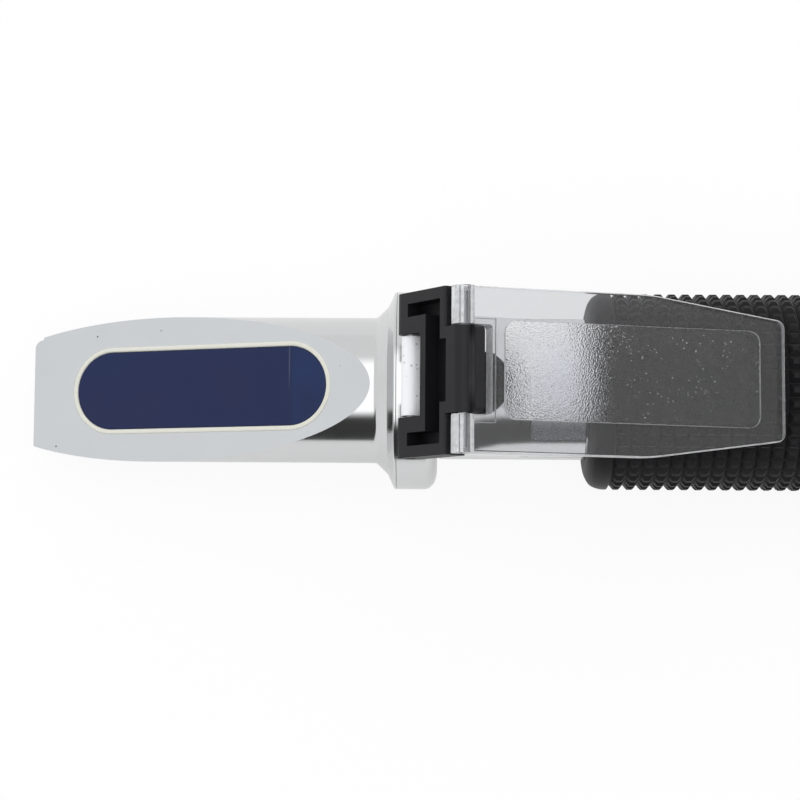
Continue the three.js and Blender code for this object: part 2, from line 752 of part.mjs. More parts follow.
const chrome = { color: 0xc9ccd1, roughness: 0.16, metalness: 1 };
const steel = { color: 0x9ea3a8, roughness: 0.3, metalness: 1 };
const brass = { color: 0xb08d4a, roughness: 0.35, metalness: 1 };
const blackMetal = { color: 0x151516, roughness: 0.6, metalness: 0.4 };
const blackPlastic = { color: 0x141415, roughness: 0.42, metalness: 0 };
const blackRubber = { color: 0x17181a, roughness: 0.75, metalness: 0 };
const blueGlass = { color: 0x1b2c55, roughness: 0.08, metalness: 0 };
const clearGlass = { color: 0xdfe9ee, roughness: 0.05, metalness: 0 };
const clearPlastic = { color: 0xe4ecf2, roughness: 0.2, metalness: 0 };
const ivory = { color: 0xd9d2b8, roughness: 0.6, metalness: 0 };
const paper = { color: 0xb9bec6, roughness: 0.5, metalness: 0 };

function piece(parent, name, solid, finish) {
  const mesh = new THREE.Mesh(toGeometry(solid), new THREE.MeshStandardMaterial(finish));
  mesh.name = name;
  parent.add(mesh);
}

const refractometer = new THREE.Group();
const instrument = new THREE.Group();
instrument.position.set(-collarWidth / 2, 0, axisHeight);
refractometer.add(instrument);

piece(instrument, 'prism_housing', prismHousing(), chrome);
piece(instrument, 'measuring_prism', measuringPrism(), blueGlass);
piece(instrument, 'prism_seal', prismSeal(), ivory);
piece(instrument, 'hinge_pin', hingePin(), steel);
piece(instrument, 'aperture_stop', apertureStop(), blackMetal);
piece(instrument, 'main_tube', mainTube(), chrome);
piece(instrument, 'housing_o_ring', housingRing(), blackRubber);
piece(instrument, 'label', label(), paper);
piece(instrument, 'rubber_grip', rubberGrip(), blackRubber);
piece(instrument, 'calibration_screw', calibrationScrew(), brass);
piece(instrument, 'screw_cap', screwCap(), blackRubber);
piece(instrument, 'lens_carriage', lensCarriage(), blackMetal);
piece(instrument, 'objective_lens', objectiveLens(), clearGlass);
piece(instrument, 'bimetal_strip', bimetalStrip(), brass);
piece(instrument, 'strip_block', stripBlock(), brass);
stripScrewPlaces().forEach((x, i) => piece(instrument, `strip_screw_${i + 1}`, stripScrew(x), steel));
piece(instrument, 'baffle_tube', baffleTube(), blackMetal);
piece(instrument, 'reticle_front_ring', reticleRing(reticleStart), blackMetal);
const reticleDiscStart = reticleStart + reticleRingLength + seatGap;
const reticleDiscEnd = reticleDiscStart + reticleThickness;
piece(instrument, 'reticle_disc', rod(reticleDiscStart, reticleDiscEnd, innerRadius), clearGlass);
piece(instrument, 'reticle_rear_ring', reticleRing(reticleDiscEnd + seatGap), blackMetal);
piece(instrument, 'eyepiece_barrel', eyepieceBarrel(), blackMetal);
piece(instrument, 'field_lens', fieldLens(), clearGlass);
piece(instrument, 'lens_spacer', lensSpacer(), blackMetal);
piece(instrument, 'eye_lens', eyeLens(), clearGlass);
piece(instrument, 'eye_lens_retainer', eyeLensRetainer(), blackMetal);
piece(instrument, 'focus_guide_screw', guideScrew(), steel);
piece(instrument, 'focus_ring', focusRing(), blackPlastic);
piece(instrument, 'eyecup', eyecup(), blackRubber);

// The cover stands open: the arm leans back over the collar and the plate lies on the grip
const arm = new THREE.Group();
arm.position.set(hingeX, 0, hingeHeight);
arm.rotation.y = -armPitch;
instrument.add(arm);
piece(arm, 'hinge_arm', hingeArm(), blackPlastic);
piece(arm, 'cover_pin', coverPin(), steel);

const plate = new THREE.Group();
plate.position.set(hingeX + armReachX, 0, hingeHeight + armReachZ);
plate.rotation.y = platePitch;
instrument.add(plate);
piece(plate, 'daylight_plate', daylightPlate(), clearPlastic);

export default refractometer;
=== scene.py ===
"""Looks of a handheld refractometer: finishes, fine shapes, floor, light and camera.

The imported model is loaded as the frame, and every piece made here stands for one of its nodes.
Lengths are in metres, the optical axis runs along X and the prism face looks up.
"""

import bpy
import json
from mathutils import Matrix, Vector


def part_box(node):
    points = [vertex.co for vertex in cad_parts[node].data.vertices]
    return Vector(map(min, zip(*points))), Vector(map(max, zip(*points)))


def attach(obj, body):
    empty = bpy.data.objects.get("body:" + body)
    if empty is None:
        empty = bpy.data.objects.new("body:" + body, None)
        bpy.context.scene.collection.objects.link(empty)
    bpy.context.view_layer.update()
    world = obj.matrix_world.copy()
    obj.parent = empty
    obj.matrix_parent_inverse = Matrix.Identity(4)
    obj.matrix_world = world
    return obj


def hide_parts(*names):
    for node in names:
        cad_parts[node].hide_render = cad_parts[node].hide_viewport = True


bl_info = {
    "name": "Handheld refractometer",
    "version": (1, 0, 0),
    "blender": (4, 5, 0),
    "location": "View3D > Sidebar > Refractometer",
    "description": "Builds the finished surfaces of a handheld refractometer round its packed frame",
    "category": "Object",
}

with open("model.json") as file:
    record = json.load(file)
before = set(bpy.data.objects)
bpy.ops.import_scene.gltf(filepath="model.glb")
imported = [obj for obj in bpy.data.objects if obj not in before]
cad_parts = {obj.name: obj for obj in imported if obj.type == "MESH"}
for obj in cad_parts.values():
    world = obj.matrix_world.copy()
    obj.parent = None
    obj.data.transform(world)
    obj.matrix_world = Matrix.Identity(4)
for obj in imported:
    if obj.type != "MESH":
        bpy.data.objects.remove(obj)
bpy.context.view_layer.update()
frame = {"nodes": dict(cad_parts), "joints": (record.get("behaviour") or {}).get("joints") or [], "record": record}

import json
import math

import bmesh
import bpy
from bpy.props import FloatProperty, FloatVectorProperty, IntProperty, PointerProperty
from mathutils import Matrix, Vector

MM = 0.001
PHOTO_SIZE = 800
ROUND_STEPS = 192
TOUCH = 1e-7
MERGE = 2e-7
PIN_PLAY = 0.00005
ROD = 0.03


def middle(node):
    """Centre of a node's box."""
    low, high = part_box(node)
    return (Vector(low) + Vector(high)) / 2


def half_width(node):
    """Half the width of a node's box."""
    low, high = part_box(node)
    return (high.y - low.y) / 2


def ends(node):
    """Where a node starts and ends along the axis, from the collar's front."""
    low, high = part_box(node)
    return low.x - COLLAR_FRONT, high.x - COLLAR_FRONT


def joint_point(name):
    """The point of a hinge, from the record."""
    joints = {joint["name"]: joint for joint in frame["joints"]}
    return Vector(joints[name]["pos_m"])


AXIS = middle("rubber_grip").z
COLLAR_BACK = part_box("prism_housing")[1][0]
COLLAR_FRONT = -COLLAR_BACK
NOSE_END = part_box("prism_housing")[0][0]
HINGE = joint_point("arm_swing")
COVER_HINGE = joint_point("plate_fold")


def length(name, description, value):
    """A length in metres, given in millimetres."""
    return FloatProperty(name=name, description=description, default=value * MM, unit="LENGTH", precision=5)


def turn(name, description, degrees):
    """An angle, given in degrees."""
    return FloatProperty(name=name, description=description, default=math.radians(degrees), subtype="ANGLE")


def colour(name, description, red, green, blue):
    """A linear colour."""
    return FloatVectorProperty(name=name, description=description, default=(red, green, blue),
                               subtype="COLOR", size=3, min=0, max=1)


class HousingSizes(bpy.types.PropertyGroup):
    nose_radius: length("Nose radius", "Radius of the nose tube", 10.54)
    face_angle: turn("Face angle", "Slope of the prism face to the optical axis", 19.06)
    face_inset: length("Face inset", "Distance from the flare's foot to the tip of the face", 0.77)
    flare: length("Flare", "Length of the cone behind the nose tube", 1.67)
    crown_radius: length("Crown radius", "Radius where the flare meets the steep cone up to the collar", 12.2)
    crown_lead: length("Crown lead", "Distance from the flare's end to the collar's front", 0.53)
    collar_radius: length("Collar radius", "Radius of the hinge collar", 14.31)
    collar_lead: length("Collar lead", "Length of the steep cone up to the collar", 0.4)
    collar_round: length("Collar round", "Length of the rounded rear edge of the collar", 1.3)
    collar_fall: length("Collar fall", "Height of the rounded rear edge of the collar", 2.4)
    seam: length("Seam", "Distance of the fine seam from the front of the collar", 0.75)
    seam_width: length("Seam width", "Width and depth of the fine seam", 0.12)
    bore: length("Bore", "Radius of the socket for the main tube", 9.1)
    socket: length("Socket", "Depth of the socket for the main tube", 8.2)
    lug_radius: length("Lug radius", "Radius of the hinge lug's rounded top", 1.4)
    lug_width: length("Lug width", "Width of the hinge lug", 10.8)
    lug_foot: length("Lug foot", "How far the lug reaches into the collar", 2.0)
    corner: length("Nose corner", "Round of the far corner of the nose", 1.3)


class WindowSizes(bpy.types.PropertyGroup):
    start: length("Window start", "Distance of the window from the tip of the face", 6.7)
    length: length("Window length", "Length of the prism window", 39.5)
    width: length("Window width", "Width of the prism window", 11.3)
    seal: length("Seal width", "Width of the bead round the window", 0.75)
    seal_depth: length("Seal depth", "Depth of the groove that holds the bead", 0.8)
    gap: length("Seat gap", "Gap between the glass and its seat", 0.3)
    land: length("Land", "Thickness of the glass that fills the window", 1.6)


class CoverSizes(bpy.types.PropertyGroup):
    arm_width: length("Arm width", "Width of the hinge arm", 22.4)
    arm_boss: length("Arm boss", "Radius of the arm round the lug's pin", 1.8)
    arm_skin: length("Arm skin", "Thickness of the arm under its recess", 1.2)
    knuckle_radius: length("Knuckle radius", "Radius of the arm's knuckle", 1.6)
    knuckle_width: length("Knuckle width", "Width of the arm's knuckle", 11.5)
    tab_reach: length("Tab reach", "How far the knuckle's tab passes the plate's pin", 2.6)
    tab_depth: length("Tab thickness", "Thickness of the knuckle's tab", 1.5)
    slot_end: length("Slot end", "Where the slot for the lug ends", 4.4)
    recess_start: length("Recess start", "Where the middle recess begins", 5.6)
    recess_half: length("Recess half width", "Half the width of the middle recess", 4.2)
    side_start: length("Side pocket start", "Where the side pockets begin", 1.5)
    side_inner: length("Side pocket inside", "Distance of the side pockets' inner wall from the middle", 7.85)
    side_outer: length("Side pocket outside", "Distance of the side pockets' outer wall from the middle",
                       9.65)
    pass_end: length("Passage end", "Where the passages between the pockets end", 8.8)
    pin_radius: length("Pin radius", "Radius of both hinge pins", 0.7)
    edge: length("Edge round", "Rounding of the moulded edges", 0.16)
    plate_length: length("Plate length", "Length of the daylight plate from its pin", 46.3)
    plate_width: length("Plate width", "Width of the daylight plate", 22.1)
    plate_top: length("Plate top", "Height of the clear border's inner side over the pin", 1.1)
    plate_bevel: length("Plate bevel", "Rounding of the plate's rim", 0.38)
    plate_foot: length("Plate underside", "Depth of the plate's outer side under the pin", 0.7)
    pad_top: length("Pad top", "Height of the frosted pad over the pin", 1.7)
    barrel: length("Barrel radius", "Radius of the plate's barrels", 1.6)
    notch: length("Notch", "Depth of the notch that clears the knuckle", 3.7)
    heel: length("Heel", "How far the plate's thick heel reaches from the pin", 4.6)
    heel_half: length("Heel half width", "Half the width of the plate's thick heel", 6.9)
    shoulder: length("Shoulder", "Where the plate begins to narrow", 26.4)
    end_width: length("End width", "Width of the plate's free end", 16.6)
    end_round: length("End round", "Round of the plate's free corners", 1.1)
    pad_start: length("Pad start", "Where the frosted pad begins", 5.3)
    pad_end: length("Pad end", "Where the frosted pad ends", 42.2)
    pad_width: length("Pad width", "Width of the pad at its start", 13.1)
    pad_end_width: length("Pad end width", "Width of the pad at its end", 13.3)


class TubeSizes(bpy.types.PropertyGroup):
    radius: length("Tube radius", "Radius of the main tube", 9.9)
    saddle_front: length("Saddle front", "Radius of the raised upper half at the collar", 13.2)
    saddle_crown: length("Saddle crown", "Radius of the raised half round the screw", 12.7)
    saddle_slope: length("Saddle slope", "Radius of the raised half behind the screw", 11.25)
    saddle: length("Saddle", "Radius of the raised half under the label", 10.9)
    saddle_foot: length("Saddle foot", "Height of the saddle's lower edge over the axis", 0.6)
    label_skin: length("Label skin", "Thickness of the bare label", 0.18)
    label_span: turn("Label span", "How far the label reaches round the tube", 86)


class GripSizes(bpy.types.PropertyGroup):
    radius: length("Grip radius", "Radius over the tips of the knurl", 14.2)
    root: length("Grip root", "Radius at the foot of the knurl", 13.5)
    front: length("Grip front", "Length of the smooth front band", 3.7)
    back: length("Grip back", "Length of the smooth rear band", 1.9)
    bead: length("Grip bead", "Round of the front end", 2.0)
    pitch: length("Knurl pitch", "Distance between knurl rows along the grip", 1.95)
    rows: IntProperty(name="Knurl rows", description="Rows of squares round the grip", default=44)
    tip_share: FloatProperty(name="Tip share", description="Tip of a square as a share of its foot",
                             default=0.34, subtype="FACTOR")
    foot_share: FloatProperty(name="Foot share", description="Foot of a square as a share of the pitch",
                              default=0.96, subtype="FACTOR")


class Colours(bpy.types.PropertyGroup):
    plate: colour("Bright plate", "Plated metal", 0.64, 0.645, 0.65)
    tube: colour("Tube plate", "Plated metal of the main tube", 0.76, 0.765, 0.77)
    lug: colour("Hinge lug", "Tumbled metal of the hinge lug", 0.93, 0.94, 0.97)
    satin: colour("Satin face", "Blasted metal of the prism face", 0.63, 0.65, 0.67)
    steel: colour("Steel", "Turned steel of pins and screws", 0.56, 0.57, 0.59)
    brass: colour("Brass", "Brass inner parts", 0.66, 0.48, 0.2)
    glass: colour("Prism glass", "Blue of the prism", 0.0185, 0.0235, 0.068)
    glass_end: colour("Prism end", "Lighter blue near the prism's exit end", 0.016, 0.042, 0.135)
    seal: colour("Seal", "Ivory bead", 0.74, 0.74, 0.67)
    moulding: colour("Black moulding", "Moulded black plastic", 0.0125, 0.0125, 0.0145)
    rubber: colour("Black rubber", "Rubber of the grip and eyecup", 0.0085, 0.0085, 0.0095)
    label: colour("Label", "Bare foil label", 0.76, 0.78, 0.82)
    sheet: colour("Clear sheet", "Clear plastic of the daylight plate", 0.73, 0.735, 0.755)
    pad: colour("Stippled pad", "Clear plastic under the stipple", 0.98, 0.985, 0.995)
    # Recess colour: a darker copy of the black moulding for faces inside the arm's recesses, painted shade.
    recess: colour("Recess", "Moulded black plastic inside the recesses", 0.009, 0.009, 0.0108)
    # Milky edge colour: partly the plate's milky edges, partly a painted highlight where light catches them.
    edge: colour("Milky edge", "Moulded edges of the clear plate", 0.9, 0.905, 0.92)
    lens: colour("Lens", "Coated lens glass", 0.88, 0.92, 0.95)
    black_metal: colour("Black metal", "Anodised inner parts", 0.012, 0.012, 0.013)
    floor: colour("Floor", "Pale floor", 0.93, 0.93, 0.93)


class StageSizes(bpy.types.PropertyGroup):
    distance: length("Camera distance", "From the lens to the plane of the optical axis", 301.47)
    focal: FloatProperty(name="Focal pixels", description="Focal length in pixels of an 800 pixel image",
                         default=2071.2)
    lean: turn("Camera lean", "Turn of the camera about the optical axis", 5.4145)
    tip: turn("Camera tip", "Turn of the camera across the optical axis", -0.9586)
    roll: turn("Camera roll", "Turn of the image", -0.3277)
    shift_x: length("Image shift X", "Shift of the object to the right of the image's centre", -1.099)
    shift_y: length("Image shift Y", "Shift of the object above the image's centre", 1.355)
    world: FloatProperty(name="World light", description="Strength of the even light", default=0.93)
    glow: FloatProperty(name="Overhead glow", description="Extra strength of the strip of light overhead",
                        default=0.75)
    key: FloatProperty(name="Key light", description="Power of the soft lamp in watts", default=0.25)


GROUPS = {
    "housing": HousingSizes,
    "window": WindowSizes,
    "cover": CoverSizes,
    "tube": TubeSizes,
    "grip": GripSizes,
    "colours": Colours,
    "stage": StageSizes,
}


def sizes(group):
    """The values of one property group on the scene."""
    return getattr(bpy.context.scene, "refractometer_" + group)


def place():
    """From the instrument's own coordinates, which start on its axis at the collar's front, to the frame."""
    return Matrix.Translation((COLLAR_FRONT, 0, AXIS))


def face_tip():
    """Where the slanted face leaves the top of the nose tube."""
    housing = sizes("housing")
    return -housing.flare - housing.crown_lead - housing.face_inset


def on_face():
    """From coordinates on the prism face, zero at its tip, to the frame."""
    housing = sizes("housing")
    tip = Matrix.Translation((face_tip(), 0, housing.nose_radius))
    return place() @ tip @ Matrix.Rotation(-housing.face_angle, 4, "Y")


def tilted(form):
    """A form on the prism face, brought into the instrument's own coordinates."""
    form.transform(place().inverted() @ on_face())
    return form


def on_arm():
    """From coordinates along the hinge arm, zero at the lug's pin, to the frame."""
    reach = COVER_HINGE - HINGE
    return Matrix.Translation(HINGE) @ Matrix.Rotation(-math.atan2(reach.z, reach.x), 4, "Y")


def on_plate():
    """From coordinates along the daylight plate, zero at its pin, to the frame."""
    cover = sizes("cover")
    drop = COVER_HINGE.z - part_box("daylight_plate")[0].z
    pitch = math.asin(drop / math.hypot(cover.plate_length, cover.plate_foot))
    pitch -= math.atan2(cover.plate_foot, cover.plate_length)
    return Matrix.Translation(COVER_HINGE) @ Matrix.Rotation(pitch, 4, "Y")


# Shapes


def soften(form, parts, size, segments, affect="EDGES"):
    """Rounds edges or corners by a size."""
    bmesh.ops.bevel(form, geom=parts, offset=size, offset_type="OFFSET", affect=affect, segments=segments,
                    profile=0.5, material=-1)


def flat_face(points, segments=5):
    """A flat face through 3-D points, each given with the round of its corner."""
    form = bmesh.new()
    corners = [(form.verts.new(point), size) for point, size in points]
    form.faces.new([corner for corner, size in corners])
    for size in sorted({size for corner, size in corners if size}):
        soften(form, [corner for corner, its in corners if its == size], size, segments, "VERTICES")
    return form


def turned(profile, steps=144, segments=5, upright=False):
    """A solid of revolution; the profile is a closed list of (place along the axis, radius, round)."""
    form = flat_face([((along, 0, radius), size) for along, radius, size in profile], segments)
    bmesh.ops.delete(form, geom=form.faces[:], context="FACES_ONLY")
    on_axis = [edge for edge in form.edges if max(vert.co.z for vert in edge.verts) < TOUCH]
    bmesh.ops.delete(form, geom=on_axis, context="EDGES")
    bmesh.ops.spin(form, geom=form.verts[:] + form.edges[:], cent=(0, 0, 0), axis=(1, 0, 0),
                   angle=math.tau, steps=steps, use_merge=True)
    bmesh.ops.remove_doubles(form, verts=form.verts, dist=TOUCH)
    bmesh.ops.recalc_face_normals(form, faces=form.faces)
    if upright:
        form.transform(Matrix.Rotation(-math.pi / 2, 4, "Y"))
    return form


def extruded(form, direction):
    """A flat face carried along a direction into a solid."""
    carried = bmesh.ops.extrude_face_region(form, geom=form.faces[:])
    moved = [part for part in carried["geom"] if isinstance(part, bmesh.types.BMVert)]
    bmesh.ops.translate(form, verts=moved, vec=direction)
    bmesh.ops.recalc_face_normals(form, faces=form.faces)
    return form


def side_slab(outline, width):
    """An outline of (x, z, round) carried across a width centred on Y."""
    return extruded(flat_face([((x, -width / 2, z), size) for x, z, size in outline], 6), (0, width, 0))


def plan_slab(outline, low, high):
    """Half an outline of (x, half width, round), mirrored and carried from one height to another."""
    outline = [(x, -half, size) for x, half, size in outline] + outline[::-1]
    return extruded(flat_face([((x, y, low), size) for x, y, size in outline], 6), (0, 0, high - low))


def block(low, high):
    """A box between two corners."""
    form = bmesh.new()
    span = [b - a for a, b in zip(low, high)]
    bmesh.ops.create_cube(form, size=1, matrix=Matrix.Translation([(a + b) / 2 for a, b in zip(low, high)])
                          @ Matrix.Diagonal((*span, 1)))
    return form


def cross_rod(x, z, radius, width, segments=48, dome=0.0):
    """A rod along Y, its ends rounded by the dome's size."""
    form = bmesh.new()
    bmesh.ops.create_cone(form, cap_ends=True, segments=segments, radius1=radius, radius2=radius, depth=width)
    if dome:
        rims = [edge for edge in form.edges if abs(edge.verts[0].co.z - edge.verts[1].co.z) < TOUCH]
        soften(form, rims, dome, 4)
    form.transform(Matrix.Translation((x, 0, z)) @ Matrix.Rotation(math.pi / 2, 4, "X"))
    return form


def post(x, low, high, radius, segments=64):
    """An upright cylinder."""
    form = bmesh.new()
    bmesh.ops.create_cone(form, cap_ends=True, segments=segments, radius1=radius, radius2=radius,
                          depth=high - low, matrix=Matrix.Translation((x, 0, (low + high) / 2)))
    return form


def window_shape(grow, low, high, segments=72):
    """The prism window's outline, grown by a margin, as a solid between two heights over the prism face."""
    window = sizes("window")
    start, span, width = window.start - grow, window.length + 2 * grow, window.width + 2 * grow
    form = bmesh.new()
    bmesh.ops.create_circle(form, cap_ends=True, segments=segments, radius=width / 2,
                            matrix=Matrix.Rotation(math.pi / segments, 4, "Z"))
    near = [vert for vert in form.verts if vert.co.x > 0]
    bmesh.ops.translate(form, verts=near, vec=(span - width, 0, 0))
    bmesh.ops.translate(form, verts=form.verts, vec=(width / 2 - start - span, 0, low))
    return extruded(form, (0, 0, high - low))


def loose(form):
    """A mesh object made from a form, for a Boolean."""
    mesh = bpy.data.meshes.new("Loose")
    form.to_mesh(mesh)
    form.free()
    thing = bpy.data.objects.new("Loose", mesh)
    bpy.context.scene.collection.objects.link(thing)
    return thing


def combine(form, tool, operation="DIFFERENCE"):
    """The form cut by, joined with or kept inside the tool."""
    first, second = loose(form), loose(tool)
    cut = first.modifiers.new("Cut", "BOOLEAN")
    cut.operation = operation
    cut.solver = "EXACT"
    cut.object = second
    bpy.context.view_layer.update()
    made = bmesh.new()
    made.from_mesh(first.evaluated_get(bpy.context.evaluated_depsgraph_get()).to_mesh())
    for thing in (first, second):
        mesh = thing.data
        bpy.data.objects.remove(thing)
        bpy.data.meshes.remove(mesh)
    return made


def cut_all(form, tools):
    """The form with every tool cut out of it."""
    for tool in tools:
        form = combine(form, tool)
    return form


def body_of(node):
    """The body that a node belongs to."""
    bodies = frame["record"]["behaviour"]["bodies"]
    return next(body for body, members in bodies.items() if node in members)


def settle(name, form, finishes, node, where=None, sharp=30, edge=0.0, choose=None, edge_slot=-1):
    """Turns a form into the finished piece that stands for a node."""
    form.transform(place() if where is None else where)
    bmesh.ops.remove_doubles(form, verts=form.verts, dist=MERGE)
    bmesh.ops.dissolve_degenerate(form, edges=form.edges, dist=MERGE)
    bmesh.ops.recalc_face_normals(form, faces=form.faces)
    if choose is not None:
        for face in form.faces:
            face.material_index = choose(face)
    mesh = bpy.data.meshes.new(name)
    form.to_mesh(mesh)
    form.free()
    for key in finishes:
        mesh.materials.append(finish(key))
    mesh.shade_smooth()
    mesh.set_sharp_from_angle(angle=math.radians(sharp))
    piece = bpy.data.objects.new(name, mesh)
    bpy.context.scene.collection.objects.link(piece)
    if edge:
        soft = piece.modifiers.new("Soft edges", "BEVEL")
        soft.width = edge
        soft.segments = 2
        soft.material = edge_slot
        soft.limit_method = "ANGLE"
        soft.angle_limit = math.radians(40)
        soft.use_clamp_overlap = True
    even = piece.modifiers.new("Even shading", "WEIGHTED_NORMAL")
    even.keep_sharp = True
    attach(piece, body_of(node))
    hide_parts(node)


# Finishes


class Value:
    """A node's output that takes part in arithmetic."""

    def __init__(self, tree, socket):
        self.tree = tree
        self.socket = socket

    def math(self, operation, first, second):
        """A Math node fed by two values or numbers."""
        node = self.tree.nodes.new("ShaderNodeMath")
        node.operation = operation
        for socket, item in zip(node.inputs, (first, second)):
            connect(self.tree, socket, item)
        return Value(self.tree, node.outputs[0])

    def __add__(self, other):
        return self.math("ADD", self, other)

    def __radd__(self, other):
        return self.math("ADD", other, self)

    def __sub__(self, other):
        return self.math("SUBTRACT", self, other)

    def __rsub__(self, other):
        return self.math("SUBTRACT", other, self)

    def __mul__(self, other):
        return self.math("MULTIPLY", self, other)

    def __rmul__(self, other):
        return self.math("MULTIPLY", other, self)

    def __truediv__(self, other):
        return self.math("DIVIDE", self, other)

    def larger(self, other):
        """The larger of two values."""
        return self.math("MAXIMUM", self, other)


def connect(tree, socket, item):
    """Links a value to a socket, or sets the socket to a number or colour."""
    if isinstance(item, Value):
        tree.links.new(item.socket, socket)
    elif socket.type == "RGBA" and len(item) == 3:
        socket.default_value = (*item, 1)
    else:
        socket.default_value = item


def toned(shade, factor):
    """A colour made lighter or darker."""
    return [min(1, part * factor) for part in shade]


class Finish:
    """A node tree that paints a surface or the sky."""

    def __init__(self, owner):
        self.owner = owner
        owner.use_nodes = True
        self.tree = owner.node_tree
        self.tree.nodes.clear()

    def node(self, kind, settings=None, inputs=None, output=0):
        """A node of a type, with its settings first and then the values or links of its sockets."""
        node = self.tree.nodes.new(kind)
        for key, value in (settings or {}).items():
            setattr(node, key, value)
        for key, value in (inputs or {}).items():
            connect(self.tree, node.inputs[key], value)
        return Value(self.tree, node.outputs[output])

    def place(self):
        """The object's own coordinates, in metres."""
        return self.node("ShaderNodeTexCoord", output="Object")

    def along(self, axis):
        """One of the object's coordinates."""
        return self.node("ShaderNodeSeparateXYZ", inputs={0: self.place()}, output=axis)

    def noise(self, cell, detail=3.0, rough=0.5, stretch=None):
        """Noise from 0 to 1 whose features are about a cell long, in metres."""
        where = self.place()
        if stretch:
            where = self.node("ShaderNodeMapping", inputs={"Vector": where, "Scale": stretch})
        return self.node("ShaderNodeTexNoise", {"noise_dimensions": "3D"},
                         {"Vector": where, "Scale": 1 / cell, "Detail": detail, "Roughness": rough}, "Fac")

    def specks(self, cell):
        """Distance from scattered points, in cells."""
        return self.node("ShaderNodeTexVoronoi", {"feature": "F1"},
                         {"Vector": self.place(), "Scale": 1 / cell}, "Distance")

    def step(self, value, low, high):
        """0 below low, 1 above high, and a soft rise between them."""
        return self.node("ShaderNodeMapRange", {"interpolation_type": "SMOOTHSTEP"},
                         {"Value": value, "From Min": low, "From Max": high, "To Min": 0.0, "To Max": 1.0})

    def blend(self, share, first, second):
        """A mix of two colours."""
        return self.node("ShaderNodeMix", {"data_type": "RGBA"},
                         {"Factor": share, 6: first, 7: second}, output=2)

    def bump(self, height, distance):
        """A normal bent by a height, over a distance in metres."""
        return self.node("ShaderNodeBump", inputs={"Height": height, "Distance": distance, "Strength": 1.0})

    def surface(self, **sockets):
        """A Principled shader."""
        return self.node("ShaderNodeBsdfPrincipled",
                         inputs={key.replace("_", " "): value for key, value in sockets.items()})

    def diffuse(self, shade):
        """A diffuse shader."""
        return self.node("ShaderNodeBsdfDiffuse", inputs={"Color": shade})

    def mixed(self, part, first, second):
        """A mix of two shaders."""
        return self.node("ShaderNodeMixShader", inputs={0: part, 1: first, 2: second})

    def seen(self):
        """1 for what the camera sees, also through clear pieces."""
        direct, through = (self.node("ShaderNodeLightPath", output=kind)
                           for kind in ("Is Camera Ray", "Is Transmission Ray"))
        return direct.larger(through)

    def end(self, shader, kind="ShaderNodeOutputMaterial"):
        """Ends the tree in its output."""
        end = self.tree.nodes.new(kind)
        self.tree.links.new(shader.socket, end.inputs["Surface"])


def bright_plate(paint, shade):
    """Bright plating with faint waves and fine scuffs."""
    cloud = paint.noise(0.004, 2)
    scuffs = paint.noise(0.0004, 4, 0.6, (0.25, 1, 1))
    tint = paint.blend(cloud, toned(shade, 0.96), shade)
    return paint.surface(Base_Color=tint, Metallic=1.0, Roughness=0.1 + 0.05 * cloud + 0.05 * scuffs,
                         Normal=paint.bump(cloud + 0.15 * scuffs, 0.000004))


def satin_metal(paint, shade):
    """Blasted metal with a few dark specks."""
    grain = paint.noise(0.00012, 3, 0.6)
    cloud = paint.noise(0.009, 2)
    speck = 1 - paint.step(paint.specks(0.0065), 0.014, 0.03)
    tint = paint.blend(cloud, toned(shade, 0.97), toned(shade, 1.03))
    tint = paint.blend(speck * 0.8, tint, (0.06, 0.06, 0.065))
    return paint.surface(Base_Color=tint, Metallic=0.75, Roughness=0.56 + 0.1 * grain,
                         Normal=paint.bump(grain, 0.000006))


def rough_metal(paint, shade):
    """Tumbled metal with small dents."""
    grain = paint.noise(0.00025, 3, 0.6)
    dents = 1 - paint.step(paint.specks(0.0011), 0.08, 0.2)
    tint = paint.blend(dents * 0.55, shade, (0.2, 0.2, 0.21))
    return paint.surface(Base_Color=tint, Metallic=0.1, Roughness=0.55 + 0.15 * grain,
                         Normal=paint.bump(grain - 0.6 * dents, 0.00002))


def turned_metal(paint, shade):
    """Turned metal with fine tool marks."""
    marks = paint.noise(0.00015, 2, 0.5, (4, 0.4, 0.4))
    cloud = paint.noise(0.002, 2)
    tint = paint.blend(cloud, toned(shade, 0.9), shade)
    return paint.surface(Base_Color=tint, Metallic=1.0, Roughness=0.28 + 0.12 * marks,
                         Normal=paint.bump(marks, 0.000005))


def prism_glass(paint, shade):
    """Blue prism glass: lighter past a fine pale line near its exit end."""
    line_at = sizes("window").start + 0.0056
    start = COLLAR_FRONT + face_tip() - line_at * math.cos(sizes("housing").face_angle)
    x, y = paint.along("X"), paint.along("Y")
    cloud = paint.noise(0.012, 2)
    past = paint.step(x, start, start + 0.0008) * paint.step(cloud, 0.3, 0.7)
    tint = paint.blend(cloud, shade, [shade[0] * 0.8, shade[1] * 1.1, shade[2] * 1.25])
    tint = paint.blend(past * 0.6, tint, tuple(sizes("colours").glass_end))
    off = x - start
    line = (1 - paint.step(off * off, 0.0, 0.00011 ** 2)) * paint.step(y, -0.002, 0.0035)
    tint = paint.blend(line * 0.16, tint, (0.32, 0.36, 0.42))
    return paint.surface(Base_Color=tint, Roughness=0.05 + 0.03 * cloud, IOR=1.6, Specular_IOR_Level=0.12,
                         Normal=paint.bump(cloud, 0.000001))


def soft_bead(paint, shade):
    """Ivory sealing bead."""
    cloud = paint.noise(0.0008, 3)
    tint = paint.blend(cloud, toned(shade, 0.9), shade)
    return paint.surface(Base_Color=tint, Roughness=0.45 + 0.2 * cloud, Normal=paint.bump(cloud, 0.00002))


